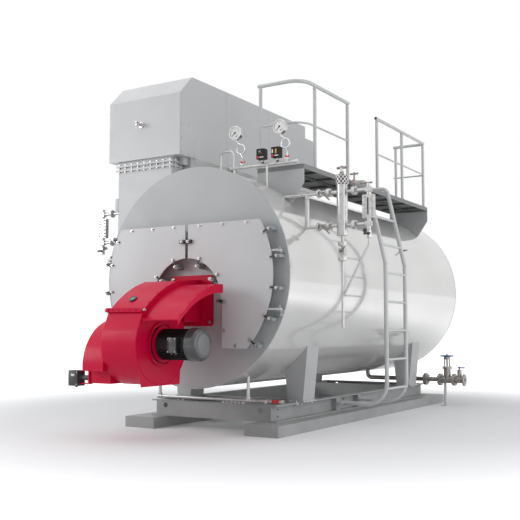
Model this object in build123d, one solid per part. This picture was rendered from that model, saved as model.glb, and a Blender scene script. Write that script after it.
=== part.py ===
from build123d import *
import math
import os

os.makedirs("parts", exist_ok=True)

# Overall sizes of the drum, millimetres. The front end faces -Y and the floor is z 0.
axis_z = 1596
shell_r = 1140
shell_wall = 10
plate_lip = 10
plate_t = 14
drum_length = 4985
seat = 0.3
shell_top_z = axis_z + shell_r
plate_r = shell_r + plate_lip

# Skids and base frame
skid_width = 390
skid_height = 115
skid_inner_x = 575
skid_front_y = 90
skid_length = 4780
skid_wall = 10
frame_outer_x = 800
frame_front_y = 340
frame_rear_y = 4560
frame_flange = 75
frame_web = 9
frame_flange_t = 13
frame_top_z = 285
lift_hole_r = 28
lift_hole_x = 610
lift_hole_drop = 55

# Saddles
saddle_front_y = 842
saddle_rear_y = 3870
saddle_depth = 258
saddle_plate = 14
saddle_foot_out = 20
saddle_foot_lip = 15
saddle_foot_t = 16
saddle_inner_foot_x = 646
saddle_outer_foot_x = 825
saddle_inner_top_x = 560
saddle_outer_top_x = 905
saddle_top_z = axis_z - 550

# Smokebox doors
door_margin = 122
door_r = plate_r - door_margin
door_top_z = axis_z + 531
door_bottom_z = axis_z - 729
door_gap = 36
door_face_y = -120
door_plate_t = 12
door_inset = 55
door_back_gap = 6
door_corner_r = 28
arch_r = 430
arch_z = axis_z - 246
arch_side_x = 444
hinge_x = door_r + 42
hinge_y = -60
hinge_pin_r = 13
hinge_low_z = axis_z - 348
hinge_high_z = axis_z + 219
hinge_arm_t = 20
hinge_arm_long = 120
hinge_eye_r = 28
hinge_shelf_t = 14
hinge_web_drop = 60
running_gap = 0.1

# Burner
burner_z = axis_z - 249
burner_flange_size = 520
burner_flange_t = 25
casing_left_x = -300
casing_right_x = 115
casing_top_z = burner_z + 213
casing_crown_y = -400
casing_crown_drop = 28
crown_middle_y = -712
crown_middle_z = burner_z + 53
casing_low_depth = 85
casing_step = 33
seam_y = -945
seam_z = burner_z - 132
seam_bar_front = 22
seam_bar_rear = 30
seam_bar_height = 38
seam_eye_r = 21
seam_eye_reach = 18
seam_eye_shift = 8
fan_y = -655
fan_z = burner_z - 435
volute_r = 388
volute_foot_z = burner_z - 827
foot_front = 298
foot_front_top = 318
foot_front_drop = 210
foot_rear = 285
foot_rear_top = 300
foot_rear_drop = 190
side_plate_t = 6
intake_left_x = -560
intake_r = 454
intake_y = -561
intake_z = burner_z - 647
intake_rear_y = -465
intake_sill_z = burner_z - 690
damper_front_y = -905
damper_low_z = burner_z - 812
servo_arm = 120
servo_arm_t = 10
servo_plate_t = 14
servo_plate_rise = 25
servo_plate_front = 15
servo_plate_rear = 35
hood_right_x = 540
hood_rear_y = -245
hood_front_y = -960
hood_top_z = burner_z + 145
hood_drop = 353
hood_flat_y = casing_crown_y + 70
hood_fall = 2
hood_shoulder_y = fan_y + 55
hood_shoulder_drop = 88
hood_sheet = 5
hood_skirt_rear = 85
hood_skirt_front = 44
hood_hollow = 20
motor_r = 136
motor_ring_r = 215
motor_ring_t = 20
motor_ring_width = 26
motor_foot_r = 175
motor_foot_t = 10
cowl_r = 155
cowl_length = 115
cowl_edge_r = 38
motor_length = 490
terminal_width = 95
terminal_height = 134
terminal_depth = 90
terminal_drop = 5
terminal_gap = 70
servo_size = 126
servo_extra = 24
servo_drop = 30
servo_front = 45
servo_rear = 55
servo_shaft_r = 26
servo_shaft_shift = 10
servo_shaft_rise = 50

# Flue duct and economizer
flue_x = -755
duct_half = 373
duct_front_y = 110
duct_depth = 380
duct_wall = 6
duct_top_z = shell_top_z + 86
duct_flange_t = 20
duct_flange_out = 22
duct_flange_gap = 28
eco_half = 498
eco_front_y = 75
eco_rear_y = 2905
eco_bottom_z = shell_top_z + 196
eco_face_top_z = eco_bottom_z + 680
eco_top_z = eco_bottom_z + 898
eco_chamfer = 215
eco_wall = 8
eco_tail_rear_y = 3230
eco_tail_top_z = eco_bottom_z + 736
eco_post_right_x = -310
eco_post_left_inset = 160
eco_post_rear_inset = 145
eco_post_middle_y = 1200
eco_post_front_y = 345
probe_r = 18
probe_length = 70
probe_z = eco_bottom_z + 383
eco_post_size = 90

# Platform, guard rails and ladder
deck_inner_x = 430
deck_outer_x = 998
deck_front_y = 570
deck_rear_y = 4235
deck_top_z = shell_top_z + 45
deck_depth = 52
deck_t = 8
bracket_t = 12
bracket_edge = 145
bracket_foot_x = 860
bracket_foot_rise = 40
rail_r = 21
post_r = 19
rail_over = 28
rail_mid_r = 11
rail_top_z = deck_top_z + 912
rail_mid_z = deck_top_z + 462
rail_bend = 190
rail_corner = 45
rail_inset = 25
rear_post_pitch = 825
rear_post_gap = 60
first_post_rise = 86
ladder_x = shell_r + 260
ladder_front_y = 1750
ladder_rear_y = 2330
ladder_stile_r = 24
rung_r = 14
rung_first_z = 390
rung_pitch = 326
rung_count = 7
ladder_knee_z = axis_z + 204
ladder_lean = 0.228
ladder_foot_z = 215
ladder_foot_bend = 250
ladder_hook_bend = 90
stub_width = 90

# Water column and level gauges
gauge_y = 540
column_x = shell_r + 312
column_r = 55
column_bottom_z = axis_z + 394
column_top_z = axis_z + 1014
column_band = 105
level_high_z = axis_z + 841
level_low_z = axis_z + 499
gauge_x = column_x + 291
gauge_width = 120
gauge_height = 232
gauge_depth = 52
glass_width = 18
glass_height = 170
level_pipe_r = 17
level_flange_r = 45
level_flange_t = 16

# Instruments
manifold_y = 455
manifold_z = shell_top_z + 52
manifold_r = 15
manifold_left_x = 150
manifold_right_x = 988
dial_r = 75
dial_case_t = 50
dial_bezel = 9
dial_z = manifold_z + 386
left_dial_x = 228
left_cock_x = 310
right_dial_x = 783
right_cock_x = 862
siphon_r = 50
siphon_z = manifold_z + 202
siphon_shift = 62
left_switch_x = 568
right_switch_x = 750
switch_width = 94
switch_height = 110
switch_depth = 74
switch_front_y = 400
switch_rise = 56
vent_rise = 197

# Blowdown line
blow_y = 4350
blow_z = axis_z - shell_r - 96
blow_pipe_r = 30
blow_flange_r = 82
blow_flange_t = 20
blow_bolt_circle = 125
blow_bolt_r = 9
blow_bore_r = 27
gate_x = 1235
quick_x = 1395
wheel_z = blow_z + 327
wheel_r = 85
yoke_half = 34

# Drain header
header_y = frame_front_y - 40
header_r = 17
header_z = frame_top_z + 45
header_left_x = -685
header_right_x = 910
riser_left_x = -655
riser_right_x = 487


def box(x0, x1, y0, y1, z0, z1):
    """A block between two corners."""
    solid = Box(abs(x1 - x0), abs(y1 - y0), abs(z1 - z0))
    return Pos((x0 + x1) / 2, (y0 + y1) / 2, (z0 + z1) / 2) * solid


def rod(start, end, radius):
    """A round bar from one point to another."""
    a = Vector(*start)
    b = Vector(*end)
    face = Plane(origin=a, z_dir=b - a) * Circle(radius)
    return extrude(face, amount=(b - a).length)


def tube(points, radius, bend=0):
    """A round bar that follows points, with its corners bent."""
    if bend > 0:
        path = FilletPolyline(*points, radius=bend)
    else:
        path = Polyline(*points)
    profile = Plane(origin=path @ 0, z_dir=path % 0) * Circle(radius)
    return sweep(profile, path=path, transition=Transition.ROUND)


def flange(centre, axis, radius, thickness):
    """A round flange centred on a point."""
    direction = Vector(*axis)
    start = Vector(*centre) - direction * (thickness / 2)
    return rod(tuple(start), tuple(start + direction * thickness), radius)


def side_shape(face, x0, x1):
    """A face drawn as y and z, pulled out along X."""
    return Pos(x0, 0, 0) * extrude(Plane.YZ * face, amount=x1 - x0)


def side_profile(points, x0, x1):
    """A closed outline in the YZ plane, pulled out along X."""
    return side_shape(make_face(Polyline(*points, close=True)), x0, x1)


def front_profile(face, y_front, y_rear):
    """A face drawn in the XZ plane, seen from the front, pulled back along Y."""
    depth = y_rear - y_front
    return extrude(Plane(origin=(0, y_front, 0), x_dir=(1, 0, 0), z_dir=(0, -1, 0)) * face, amount=-depth)


# The drawing has the front plate at y 0; the saved pieces have the middle of the whole length there
middle_y = (drum_length + fan_y - volute_r) / 2


def save(shape, name):
    export_step(Pos(0, -middle_y, 0) * shape, f"parts/{name}.step")


def mirror_x(shape):
    return mirror(shape, about=Plane.YZ)


def shell_height(x):
    """Height of the crown of the shell over a distance from the middle."""
    return axis_z + math.sqrt(shell_r ** 2 - x ** 2)


# Skids
skid_x1 = skid_inner_x + skid_width
skid_y1 = skid_front_y + skid_length
skid_right = box(skid_inner_x, skid_x1, skid_front_y, skid_y1, 0, skid_height)
skid_core = box(
    skid_inner_x + skid_wall, skid_x1 - skid_wall,
    skid_front_y + skid_wall, skid_y1 - skid_wall,
    skid_wall, skid_height - skid_wall,
)
skid_right = skid_right - skid_core
save(skid_right, "skid_right")
save(mirror_x(skid_right), "skid_left")

# Base frame: two side channels open outwards, joined by cross channels
frame_z0 = skid_height
frame_web_x = frame_outer_x - frame_flange


def side_channel():
    body = box(frame_web_x, frame_outer_x, frame_front_y, frame_rear_y, frame_z0, frame_top_z)
    hollow = box(
        frame_web_x + frame_web, frame_outer_x + 1,
        frame_front_y - 1, frame_rear_y + 1,
        frame_z0 + frame_flange_t, frame_top_z - frame_flange_t,
    )
    return body - hollow


def cross_channel(y_web, towards):
    reach = frame_web_x
    y_toe = y_web + towards * frame_flange
    body = box(-reach, reach, y_web, y_toe, frame_z0, frame_top_z)
    y_in = y_web + towards * frame_web
    hollow = box(
        -reach - 1, reach + 1, y_in, y_toe + towards,
        frame_z0 + frame_flange_t, frame_top_z - frame_flange_t,
    )
    return body - hollow


base_frame = side_channel() + mirror_x(side_channel())
base_frame = base_frame + cross_channel(frame_front_y, 1) + cross_channel(frame_rear_y, -1)
for y_mid in (saddle_front_y + saddle_depth, saddle_rear_y):
    base_frame = base_frame + cross_channel(y_mid, 1)
for y in (ladder_front_y, ladder_rear_y):
    stub = box(
        frame_web_x + frame_web, frame_outer_x - 5,
        y - stub_width / 2, y + stub_width / 2,
        frame_z0 + frame_flange_t, frame_top_z - frame_flange_t,
    )
    base_frame = base_frame + stub
lift_z = frame_top_z - lift_hole_drop
for x in (-lift_hole_x, lift_hole_x):
    for y in (frame_front_y, frame_rear_y - frame_web):
        base_frame = base_frame - rod((x, y - 1, lift_z), (x, y + frame_web + 1, lift_z), lift_hole_r)
save(base_frame, "base_frame")

# Shell and its two end plates
shell = Plane(origin=(0, plate_t, axis_z), z_dir=(0, 1, 0)) * Circle(shell_r)
shell_bore = Plane(origin=(0, plate_t, axis_z), z_dir=(0, 1, 0)) * Circle(shell_r - shell_wall)
shell_length = drum_length - 2 * plate_t
boiler_shell = extrude(shell, amount=shell_length) - extrude(shell_bore, amount=shell_length)
save(boiler_shell, "boiler_shell")
front_plate = rod((0, 0, axis_z), (0, plate_t, axis_z), plate_r)
save(front_plate, "front_plate")
rear_plate = rod((0, drum_length - plate_t, axis_z), (0, drum_length, axis_z), shell_r)
save(rear_plate, "rear_plate")
shell_space = rod((0, -50, axis_z), (0, drum_length + 50, axis_z), shell_r + seat)


# Saddles: hollow plate legs shaped to the shell
def saddle(y0):
    y1 = y0 + saddle_depth
    outline = make_face(Polyline(
        (saddle_inner_foot_x, frame_top_z), (saddle_outer_foot_x, frame_top_z),
        (saddle_outer_top_x, saddle_top_z), (saddle_inner_top_x, saddle_top_z), close=True,
    ))
    core = offset(outline, amount=-saddle_plate)
    leg = front_profile(outline, y0, y1) - shell_space
    leg = leg - front_profile(core, y0 + saddle_plate, y1 - saddle_plate)
    foot = box(
        saddle_inner_foot_x - saddle_foot_out, saddle_outer_foot_x + saddle_foot_out,
        y0 - saddle_foot_lip, y1 + saddle_foot_lip, frame_top_z, frame_top_z + saddle_foot_t,
    )
    leg = leg + foot
    return Compound(children=[leg.solid(), mirror_x(leg).solid()])


save(saddle(saddle_front_y), "saddle_front")
save(saddle(saddle_rear_y), "saddle_rear")


# Smokebox doors: a plate leaf with a lined box behind it, hung on two pins
def door_outline(inset):
    leaf = Pos(0, axis_z) * Circle(door_r - inset)
    half = Pos(door_r / 2, axis_z) * Rectangle(door_r, 2 * door_r)
    height = door_top_z - door_bottom_z - 2 * inset
    band = Pos(0, (door_top_z + door_bottom_z) / 2) * Rectangle(2 * door_r, height)
    x_in = door_gap / 2 + inset
    keep = Pos(x_in + door_r, axis_z) * Rectangle(2 * door_r, 2 * door_r)
    arch = Pos(0, arch_z) * Circle(arch_r + inset)
    slot = Pos(0, arch_z - door_r / 2) * Rectangle(2 * (arch_side_x + inset), door_r)
    leaf = (leaf & half & band & keep) - arch - slot
    return fillet(leaf.vertices().sort_by(Axis.X)[-2:], door_corner_r)


def door_leaf():
    face_back_y = door_face_y + door_plate_t
    plate = front_profile(door_outline(0), door_face_y, face_back_y)
    lining = front_profile(door_outline(door_inset), face_back_y, -door_back_gap)
    leaf = plate + lining
    for z in (hinge_low_z, hinge_high_z):
        reach = math.sqrt(door_r ** 2 - (z - axis_z) ** 2)
        arm = box(
            reach - hinge_arm_long, hinge_x, face_back_y, hinge_y + hinge_eye_r,
            z - hinge_arm_t / 2, z + hinge_arm_t / 2,
        )
        eye = Pos(hinge_x, hinge_y, z) * Cylinder(hinge_eye_r, hinge_arm_t)
        leaf = leaf + arm + eye
        leaf = leaf - Pos(hinge_x, hinge_y, z) * Cylinder(hinge_pin_r + running_gap, hinge_arm_t + 2)
    return leaf


door_right = door_leaf()
save(door_right, "smokebox_door_right")
save(mirror_x(door_right), "smokebox_door_left")


# Hinge brackets with their pins, fixed to the front plate
def hinge_bracket(z):
    z0 = z - hinge_arm_t / 2 - seat
    shelf = box(hinge_x - 26, hinge_x + 22, hinge_y - 26, 0, z0 - hinge_shelf_t, z0)
    web = box(hinge_x - 6, hinge_x + 6, hinge_y + 8, 0, z0 - hinge_web_drop, z0 - hinge_shelf_t)
    pin = Pos(hinge_x, hinge_y, z + 6) * Cylinder(hinge_pin_r, hinge_arm_t + 46)
    return shelf + web + pin


hinges = [hinge_bracket(hinge_low_z), hinge_bracket(hinge_high_z)]
save(Compound(children=hinges + [mirror_x(h) for h in hinges]), "door_hinges")

# Burner flange
flange_face = Pos(0, burner_z) * RectangleRounded(burner_flange_size, burner_flange_size, 30)
save(front_profile(flange_face, -burner_flange_t, 0), "burner_flange")

# Burner casing: curved cover over the air path, with a seam bar and eyes at its front
casing_low_z = seam_z - casing_low_depth
casing_step_y = fan_y + volute_r - casing_step
casing_crown_z = casing_top_z - casing_crown_drop
crown = ThreePointArc(
    (casing_crown_y, casing_crown_z), (crown_middle_y, crown_middle_z), (seam_y, seam_z),
)
casing_lines = Polyline(
    (seam_y, seam_z), (casing_step_y, seam_z),
    (casing_step_y, casing_low_z), (-burner_flange_t, casing_low_z),
    (-burner_flange_t, casing_top_z), (casing_crown_y, casing_crown_z),
)
casing = side_shape(make_face(crown + casing_lines), casing_left_x, casing_right_x)
casing = casing + box(
    casing_left_x, casing_right_x, seam_y - seam_bar_front, seam_y + seam_bar_rear,
    seam_z, seam_z + seam_bar_height,
)
eye_y = seam_y - seam_eye_shift
eye_z = seam_z + seam_bar_height / 2
for x in (casing_left_x, casing_right_x):
    casing = casing + rod((x - seam_eye_reach, eye_y, eye_z), (x + seam_eye_reach, eye_y, eye_z), seam_eye_r)
save(casing, "burner_casing")

# Fan volute: a round drum with a neck that runs tangent from it up to the seam, between side plates
neck_run = math.hypot(seam_y - fan_y, seam_z - fan_z)
neck_turn = math.atan2(fan_z - seam_z, fan_y - seam_y) - math.asin(volute_r / neck_run)
neck_length = math.sqrt(neck_run ** 2 - volute_r ** 2)
neck_foot = (seam_y + neck_length * math.cos(neck_turn), seam_z + neck_length * math.sin(neck_turn))
drum_face = Pos(fan_y, fan_z) * Circle(volute_r)
neck_face = make_face(Polyline((seam_y, seam_z), neck_foot, (fan_y, fan_z), (fan_y, seam_z), close=True))
above_seam = Pos(fan_y, seam_z + volute_r) * Rectangle(3 * volute_r, 2 * volute_r)
volute_face = (drum_face + neck_face) - above_seam
scroll = side_shape(volute_face, casing_left_x, casing_right_x)
foot_face = make_face(Polyline(
    (fan_y - foot_front_top, fan_z - foot_front_drop), (fan_y - foot_front, volute_foot_z),
    (fan_y + foot_rear, volute_foot_z), (fan_y + foot_rear_top, fan_z - foot_rear_drop),
    (fan_y, fan_z), close=True,
))
scroll = scroll + side_shape(foot_face + volute_face, casing_right_x - side_plate_t, casing_right_x)
ring_from = (casing_right_x, fan_y, fan_z)
ring_to = (casing_right_x + motor_ring_t, fan_y, fan_z)
ring = rod(ring_from, ring_to, motor_ring_r) - rod(ring_from, ring_to, motor_ring_r - motor_ring_width)
save(scroll + ring, "burner_scroll")

# Air intake: a half-round silencer hood over the damper box, on the side away from the motor
intake_keep_y = (intake_rear_y + intake_y - intake_r) / 2
intake_keep = Rectangle(intake_rear_y - intake_y + intake_r, intake_z + intake_r - intake_sill_z)
intake_face = Pos(intake_y, intake_z) * Circle(intake_r)
intake_face = intake_face & Pos(intake_keep_y, (intake_z + intake_r + intake_sill_z) / 2) * intake_keep
intake = side_shape(intake_face, intake_left_x, casing_left_x)
intake = intake + box(intake_left_x, casing_left_x, damper_front_y, intake_rear_y, damper_low_z, intake_sill_z)
plate_front_y = damper_front_y - servo_plate_front
plate_rear_y = damper_front_y + servo_plate_rear
intake = intake + box(
    intake_left_x - servo_arm, intake_left_x, plate_front_y, plate_rear_y,
    damper_low_z - servo_arm_t, damper_low_z,
)
intake = intake + box(
    intake_left_x - servo_plate_t, intake_left_x, plate_front_y, plate_rear_y,
    damper_low_z, intake_sill_z + servo_plate_rise,
)
save(intake, "burner_intake")

# Burner hood: a curved sheet with skirts, open below
hood_low_z = hood_top_z - hood_drop


def hood_outline(drop_rear, drop_front):
    """The hood from the side, lowered at its rear and front."""
    flat = (hood_flat_y, hood_top_z - hood_fall - drop_rear)
    shoulder = (hood_shoulder_y, hood_top_z - hood_shoulder_drop - (drop_rear + drop_front) / 2)
    front = (hood_front_y, hood_low_z - drop_front)
    return Line((hood_rear_y, hood_top_z - drop_rear), flat) + ThreePointArc(flat, shoulder, front)


def hood_face(sheet, skirt):
    upper = hood_outline(sheet, sheet)
    lower = hood_outline(hood_skirt_rear + skirt, hood_skirt_front + skirt)
    return make_face(upper + lower + Line(upper @ 0, lower @ 0) + Line(upper @ 1, lower @ 1))


hood = side_shape(hood_face(0, 0), casing_right_x, hood_right_x)
hood_space = hood_face(hood_sheet, hood_hollow)
hood_space = side_shape(hood_space, casing_right_x + hood_sheet, hood_right_x - hood_sheet)
save(hood - hood_space, "burner_hood")

# Burner motor with its terminal box and fan cowl
motor_x = casing_right_x
motor_end_x = motor_x + motor_length
cowl_x = motor_end_x - cowl_length
motor = rod((motor_x, fan_y, fan_z), (motor_x + motor_ring_t + motor_foot_t, fan_y, fan_z), motor_foot_r)
motor = motor + rod((motor_x, fan_y, fan_z), (cowl_x, fan_y, fan_z), motor_r)
cowl = rod((cowl_x, fan_y, fan_z), (motor_end_x, fan_y, fan_z), cowl_r)
cowl = fillet(cowl.edges().sort_by(Axis.X)[-1], cowl_edge_r)
motor = motor + cowl
terminal_x = cowl_x - terminal_gap
terminal_y = fan_y - motor_r
terminal_z = fan_z - terminal_drop
motor = motor + box(
    terminal_x - terminal_width, terminal_x, terminal_y - terminal_depth / 2, terminal_y + terminal_depth / 2,
    terminal_z - terminal_height / 2, terminal_z + terminal_height / 2,
)
save(motor, "burner_motor")

# Servo drive at the end of the damper shaft
servo_x = intake_left_x - servo_arm
servo_low_z = damper_low_z - servo_drop
servo = box(
    servo_x - servo_size, servo_x, damper_front_y - servo_front, damper_front_y + servo_rear,
    servo_low_z, servo_low_z + servo_size + servo_extra,
)
shaft_y = damper_front_y + servo_shaft_shift
shaft_z = damper_low_z + servo_shaft_rise
servo = servo + rod(
    (servo_x, shaft_y, shaft_z), (intake_left_x - servo_plate_t, shaft_y, shaft_z), servo_shaft_r,
)
save(servo, "burner_servo")

# Flue duct rising from the shell
flue_x0 = flue_x - duct_half
flue_x1 = flue_x + duct_half
duct_y1 = duct_front_y + duct_depth
duct = box(flue_x0, flue_x1, duct_front_y, duct_y1, axis_z, duct_top_z)
duct = duct - box(
    flue_x0 + duct_wall, flue_x1 - duct_wall,
    duct_front_y + duct_wall, duct_y1 - duct_wall,
    axis_z - 1, duct_top_z + 1,
)
duct = duct - shell_space
save(duct.solids().sort_by(Axis.Z)[-1], "flue_duct")


# Flange frames between the duct and the economizer
def flange_frame(z0, z1, out, hole):
    outer = box(flue_x0 - out, flue_x1 + out, duct_front_y - out, duct_y1 + out, z0, z1)
    inner = box(flue_x0 + hole, flue_x1 - hole, duct_front_y + hole, duct_y1 - hole, z0 - 1, z1 + 1)
    return outer - inner


low_z1 = duct_top_z + duct_flange_t
high_z0 = low_z1 + duct_flange_gap
high_z1 = high_z0 + duct_flange_t
neck = flange_frame(duct_top_z, low_z1, duct_flange_out, duct_wall)
neck = neck + flange_frame(low_z1, high_z0, 0, duct_wall)
neck = neck + flange_frame(high_z0, high_z1, duct_flange_out, duct_wall)
neck = neck + flange_frame(high_z1, eco_bottom_z, 0, duct_wall)
save(neck, "duct_neck")

# Economizer casing with a sloped front top edge
eco_x0 = flue_x + 10 - eco_half
eco_x1 = flue_x + 10 + eco_half
eco_points = [
    (eco_front_y, eco_bottom_z), (eco_front_y, eco_face_top_z), (eco_front_y + eco_chamfer, eco_top_z),
    (eco_rear_y, eco_top_z), (eco_rear_y, eco_bottom_z),
]
eco = side_profile(eco_points, eco_x0, eco_x1)
eco_inner_points = [
    (eco_front_y + eco_wall, eco_bottom_z + eco_wall), (eco_front_y + eco_wall, eco_face_top_z - 4),
    (eco_front_y + eco_chamfer + 4, eco_top_z - eco_wall), (eco_rear_y - eco_wall, eco_top_z - eco_wall),
    (eco_rear_y - eco_wall, eco_bottom_z + eco_wall),
]
eco = eco - side_profile(eco_inner_points, eco_x0 + eco_wall, eco_x1 - eco_wall)
probe = rod((flue_x - 20, eco_front_y, probe_z), (flue_x - 20, eco_front_y - probe_length, probe_z), probe_r)
save(eco + probe, "economizer_casing")

# Lower tail box behind the economizer
tail = box(eco_x0, eco_x1, eco_rear_y, eco_tail_rear_y, eco_bottom_z, eco_tail_top_z)
tail = tail - box(
    eco_x0 + eco_wall, eco_x1 - eco_wall, eco_rear_y - 1, eco_tail_rear_y - eco_wall,
    eco_bottom_z + eco_wall, eco_tail_top_z - eco_wall,
)
save(tail, "economizer_tail")


# Posts that carry the economizer on the shell
def eco_post(x, y):
    half = eco_post_size / 2
    post = box(x - half, x + half, y - half, y + half, axis_z, eco_bottom_z)
    return (post - shell_space).solids().sort_by(Axis.Z)[-1]


post_rear_y = eco_rear_y - eco_post_rear_inset
post_left_x = eco_x0 + eco_post_left_inset
posts = [eco_post(x, y) for x in (post_left_x, eco_post_right_x) for y in (eco_post_middle_y, post_rear_y)]
posts.append(eco_post(eco_post_right_x, eco_post_front_y))
save(Compound(children=posts), "economizer_posts")

# Platform deck with its edge strip
deck = box(deck_inner_x, deck_outer_x, deck_front_y, deck_rear_y, deck_top_z - deck_depth, deck_top_z)
deck = deck - box(
    deck_inner_x + deck_t, deck_outer_x - deck_t, deck_front_y + deck_t, deck_rear_y - deck_t,
    deck_top_z - deck_depth - 1, deck_top_z - 25,
)
save(deck, "platform_deck")


# Platform brackets that stand on the shell
def platform_bracket(y0):
    z1 = deck_top_z - deck_depth
    foot_z = shell_height(bracket_foot_x) + bracket_foot_rise
    outline = make_face(Polyline(
        (deck_inner_x, z1), (deck_outer_x, z1), (deck_outer_x, z1 - bracket_edge), (bracket_foot_x, foot_z),
        (bracket_foot_x - 160, foot_z - 90), (deck_inner_x, foot_z - 90), close=True,
    ))
    plate = front_profile(outline, y0, y0 + bracket_t) - shell_space
    return plate.solids().sort_by(Axis.Z)[-1]


brackets = [platform_bracket(deck_front_y), platform_bracket(deck_rear_y - bracket_t)]
save(Compound(children=brackets), "platform_brackets")

# Guard rails
rail_x = deck_outer_x - rail_inset
rail_y0 = deck_front_y + rail_inset
rail_y1 = deck_rear_y - rail_inset
front_in_x = deck_inner_x + rail_inset
rear_in_x = deck_inner_x + 110
front_end_y = ladder_front_y - 65
rear_start_y = ladder_rear_y + 205


def guard(points, posts, bend):
    top = tube([(x, y, rail_top_z) for x, y in points], rail_r, bend)
    middle = tube([(x, y, rail_mid_z) for x, y in points], rail_mid_r, bend)
    rail = top + middle
    for x, y in posts:
        rail = rail + rod((x, y, deck_top_z + 4), (x, y, rail_top_z), post_r)
        rail = rail + box(x - 45, x + 21, y - 24, y + 24, deck_top_z, deck_top_z + 8)
    return rail


front_guard = guard(
    [(front_in_x - rail_over, rail_y0), (rail_x, rail_y0), (rail_x, front_end_y + rail_over)],
    [(front_in_x, rail_y0), (rail_x, rail_y0 + rail_bend + first_post_rise), (rail_x, front_end_y)],
    rail_bend,
)
save(front_guard, "handrail_front")
rear_guard = guard(
    [(rail_x, rear_start_y - rail_over), (rail_x, rail_y1), (rear_in_x - rail_over, rail_y1)],
    [
        (rail_x, rear_start_y), (rail_x, rear_start_y + rear_post_pitch),
        (rail_x, rail_y1 - rear_post_gap), (rear_in_x, rail_y1),
    ],
    rail_corner,
)
save(rear_guard, "handrail_rear")

# Ladder
ladder_foot_x = frame_outer_x + 60


def stile_x(z):
    """Distance of the stiles from the middle at a height; they lean in above the knee."""
    if z < ladder_knee_z:
        return ladder_x
    return ladder_x - (z - ladder_knee_z) * ladder_lean


def stile(y):
    hook_z = deck_top_z - deck_depth / 2
    lower = [(ladder_foot_x, y, ladder_foot_z), (ladder_x, y, ladder_foot_z), (ladder_x, y, ladder_knee_z)]
    lower = tube(lower, ladder_stile_r, ladder_foot_bend)
    upper = tube([(ladder_x, y, ladder_knee_z), (stile_x(hook_z), y, hook_z), (deck_outer_x, y, hook_z)],
                 ladder_stile_r, ladder_hook_bend)
    plate = box(frame_outer_x - 5, ladder_foot_x + 12, y - 45, y + 45, ladder_foot_z - 10, ladder_foot_z + 10)
    return lower + upper + plate


ladder = stile(ladder_front_y) + stile(ladder_rear_y)
for i in range(rung_count):
    z = rung_first_z + i * rung_pitch
    x = stile_x(z)
    if i == 0:
        x = ladder_x - 6
    ladder = ladder + rod((x, ladder_front_y, z), (x, ladder_rear_y, z), rung_r)
save(ladder, "ladder")


# Water column, its pipes and the level gauges
def shell_reach(z):
    """Distance of the shell surface from the middle at a height."""
    return math.sqrt(shell_r ** 2 - (z - axis_z) ** 2)


column = rod((column_x, gauge_y, column_bottom_z), (column_x, gauge_y, column_top_z), column_r)
for z in (level_high_z, level_low_z):
    column = column + rod((column_x, gauge_y, z), (column_x - 130, gauge_y, z), level_pipe_r)
    column = column + rod((column_x, gauge_y, z), (column_x + 120, gauge_y, z), level_pipe_r)
    column = column + flange((column_x - 138, gauge_y, z), (1, 0, 0), level_flange_r, level_flange_t)
    column = column + flange((column_x + 128, gauge_y, z), (1, 0, 0), level_flange_r, level_flange_t)
band_from = (column_x, gauge_y, column_top_z - column_band)
column = column + rod(band_from, (column_x, gauge_y, column_top_z), column_r + 4)
column = column + rod((column_x, gauge_y, column_top_z), (column_x, gauge_y, column_top_z + 70), 16)
grip_z = column_top_z + 70
column = column + rod((column_x - 35, gauge_y, grip_z), (column_x + 35, gauge_y, grip_z), 12)
save(column, "water_column")

pipe_corner_x = 768
stand_x = 1052
pipes = tube([
    (pipe_corner_x, gauge_y, level_low_z), (pipe_corner_x, gauge_y, level_high_z),
    (column_x - 146, gauge_y, level_high_z),
], level_pipe_r, 30)
pipes = pipes + rod((960, gauge_y, level_low_z), (column_x - 146, gauge_y, level_low_z), level_pipe_r)
pipes = pipes + rod((stand_x, gauge_y, level_low_z), (stand_x, gauge_y, level_high_z), 24)
for z in (level_high_z, level_low_z):
    pipes = pipes + flange((column_x - 154, gauge_y, z), (1, 0, 0), level_flange_r, level_flange_t)
    pipes = pipes + flange((column_x - 262, gauge_y, z), (1, 0, 0), level_flange_r, level_flange_t)
    pipes = pipes + box(column_x - 240, column_x - 176, gauge_y - 26, gauge_y + 26, z - 26, z + 26)
pipes = pipes - shell_space
save(pipes.solids().sort_by(SortBy.VOLUME)[-1], "column_pipework")


def level_gauge():
    """A glass level gauge between two cocks."""
    middle = (level_high_z + level_low_z) / 2
    x = gauge_x
    body = box(x - gauge_width / 2, x + gauge_width / 2, gauge_y - gauge_depth / 2, gauge_y + gauge_depth / 2,
               middle - gauge_height / 2, middle + gauge_height / 2)
    glass = box(x - glass_width / 2, x + glass_width / 2, gauge_y - gauge_depth, gauge_y - gauge_depth / 2 + 8,
                middle - glass_height / 2, middle + glass_height / 2)
    body = body - glass
    body = body + rod((x, gauge_y, level_low_z - 60), (x, gauge_y, level_high_z + 60), 20)
    for z in (level_high_z, level_low_z):
        body = body + rod((x, gauge_y, z), (column_x + 152, gauge_y, z), level_pipe_r)
        body = body + flange((column_x + 144, gauge_y, z), (1, 0, 0), level_flange_r, level_flange_t)
        body = body + Pos(x, gauge_y, z) * Box(60, 50, 50)
    return body


save(level_gauge(), "level_gauge_right")

left_gauge = level_gauge()
for z in (level_high_z, level_low_z):
    pipe_end = (column_x + 150, gauge_y, z)
    left_gauge = left_gauge + rod((shell_reach(z) - 20, gauge_y, z), pipe_end, level_pipe_r)
left_gauge = left_gauge - shell_space
save(mirror_x(left_gauge.solids().sort_by(SortBy.VOLUME)[-1]), "level_gauge_left")

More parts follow.
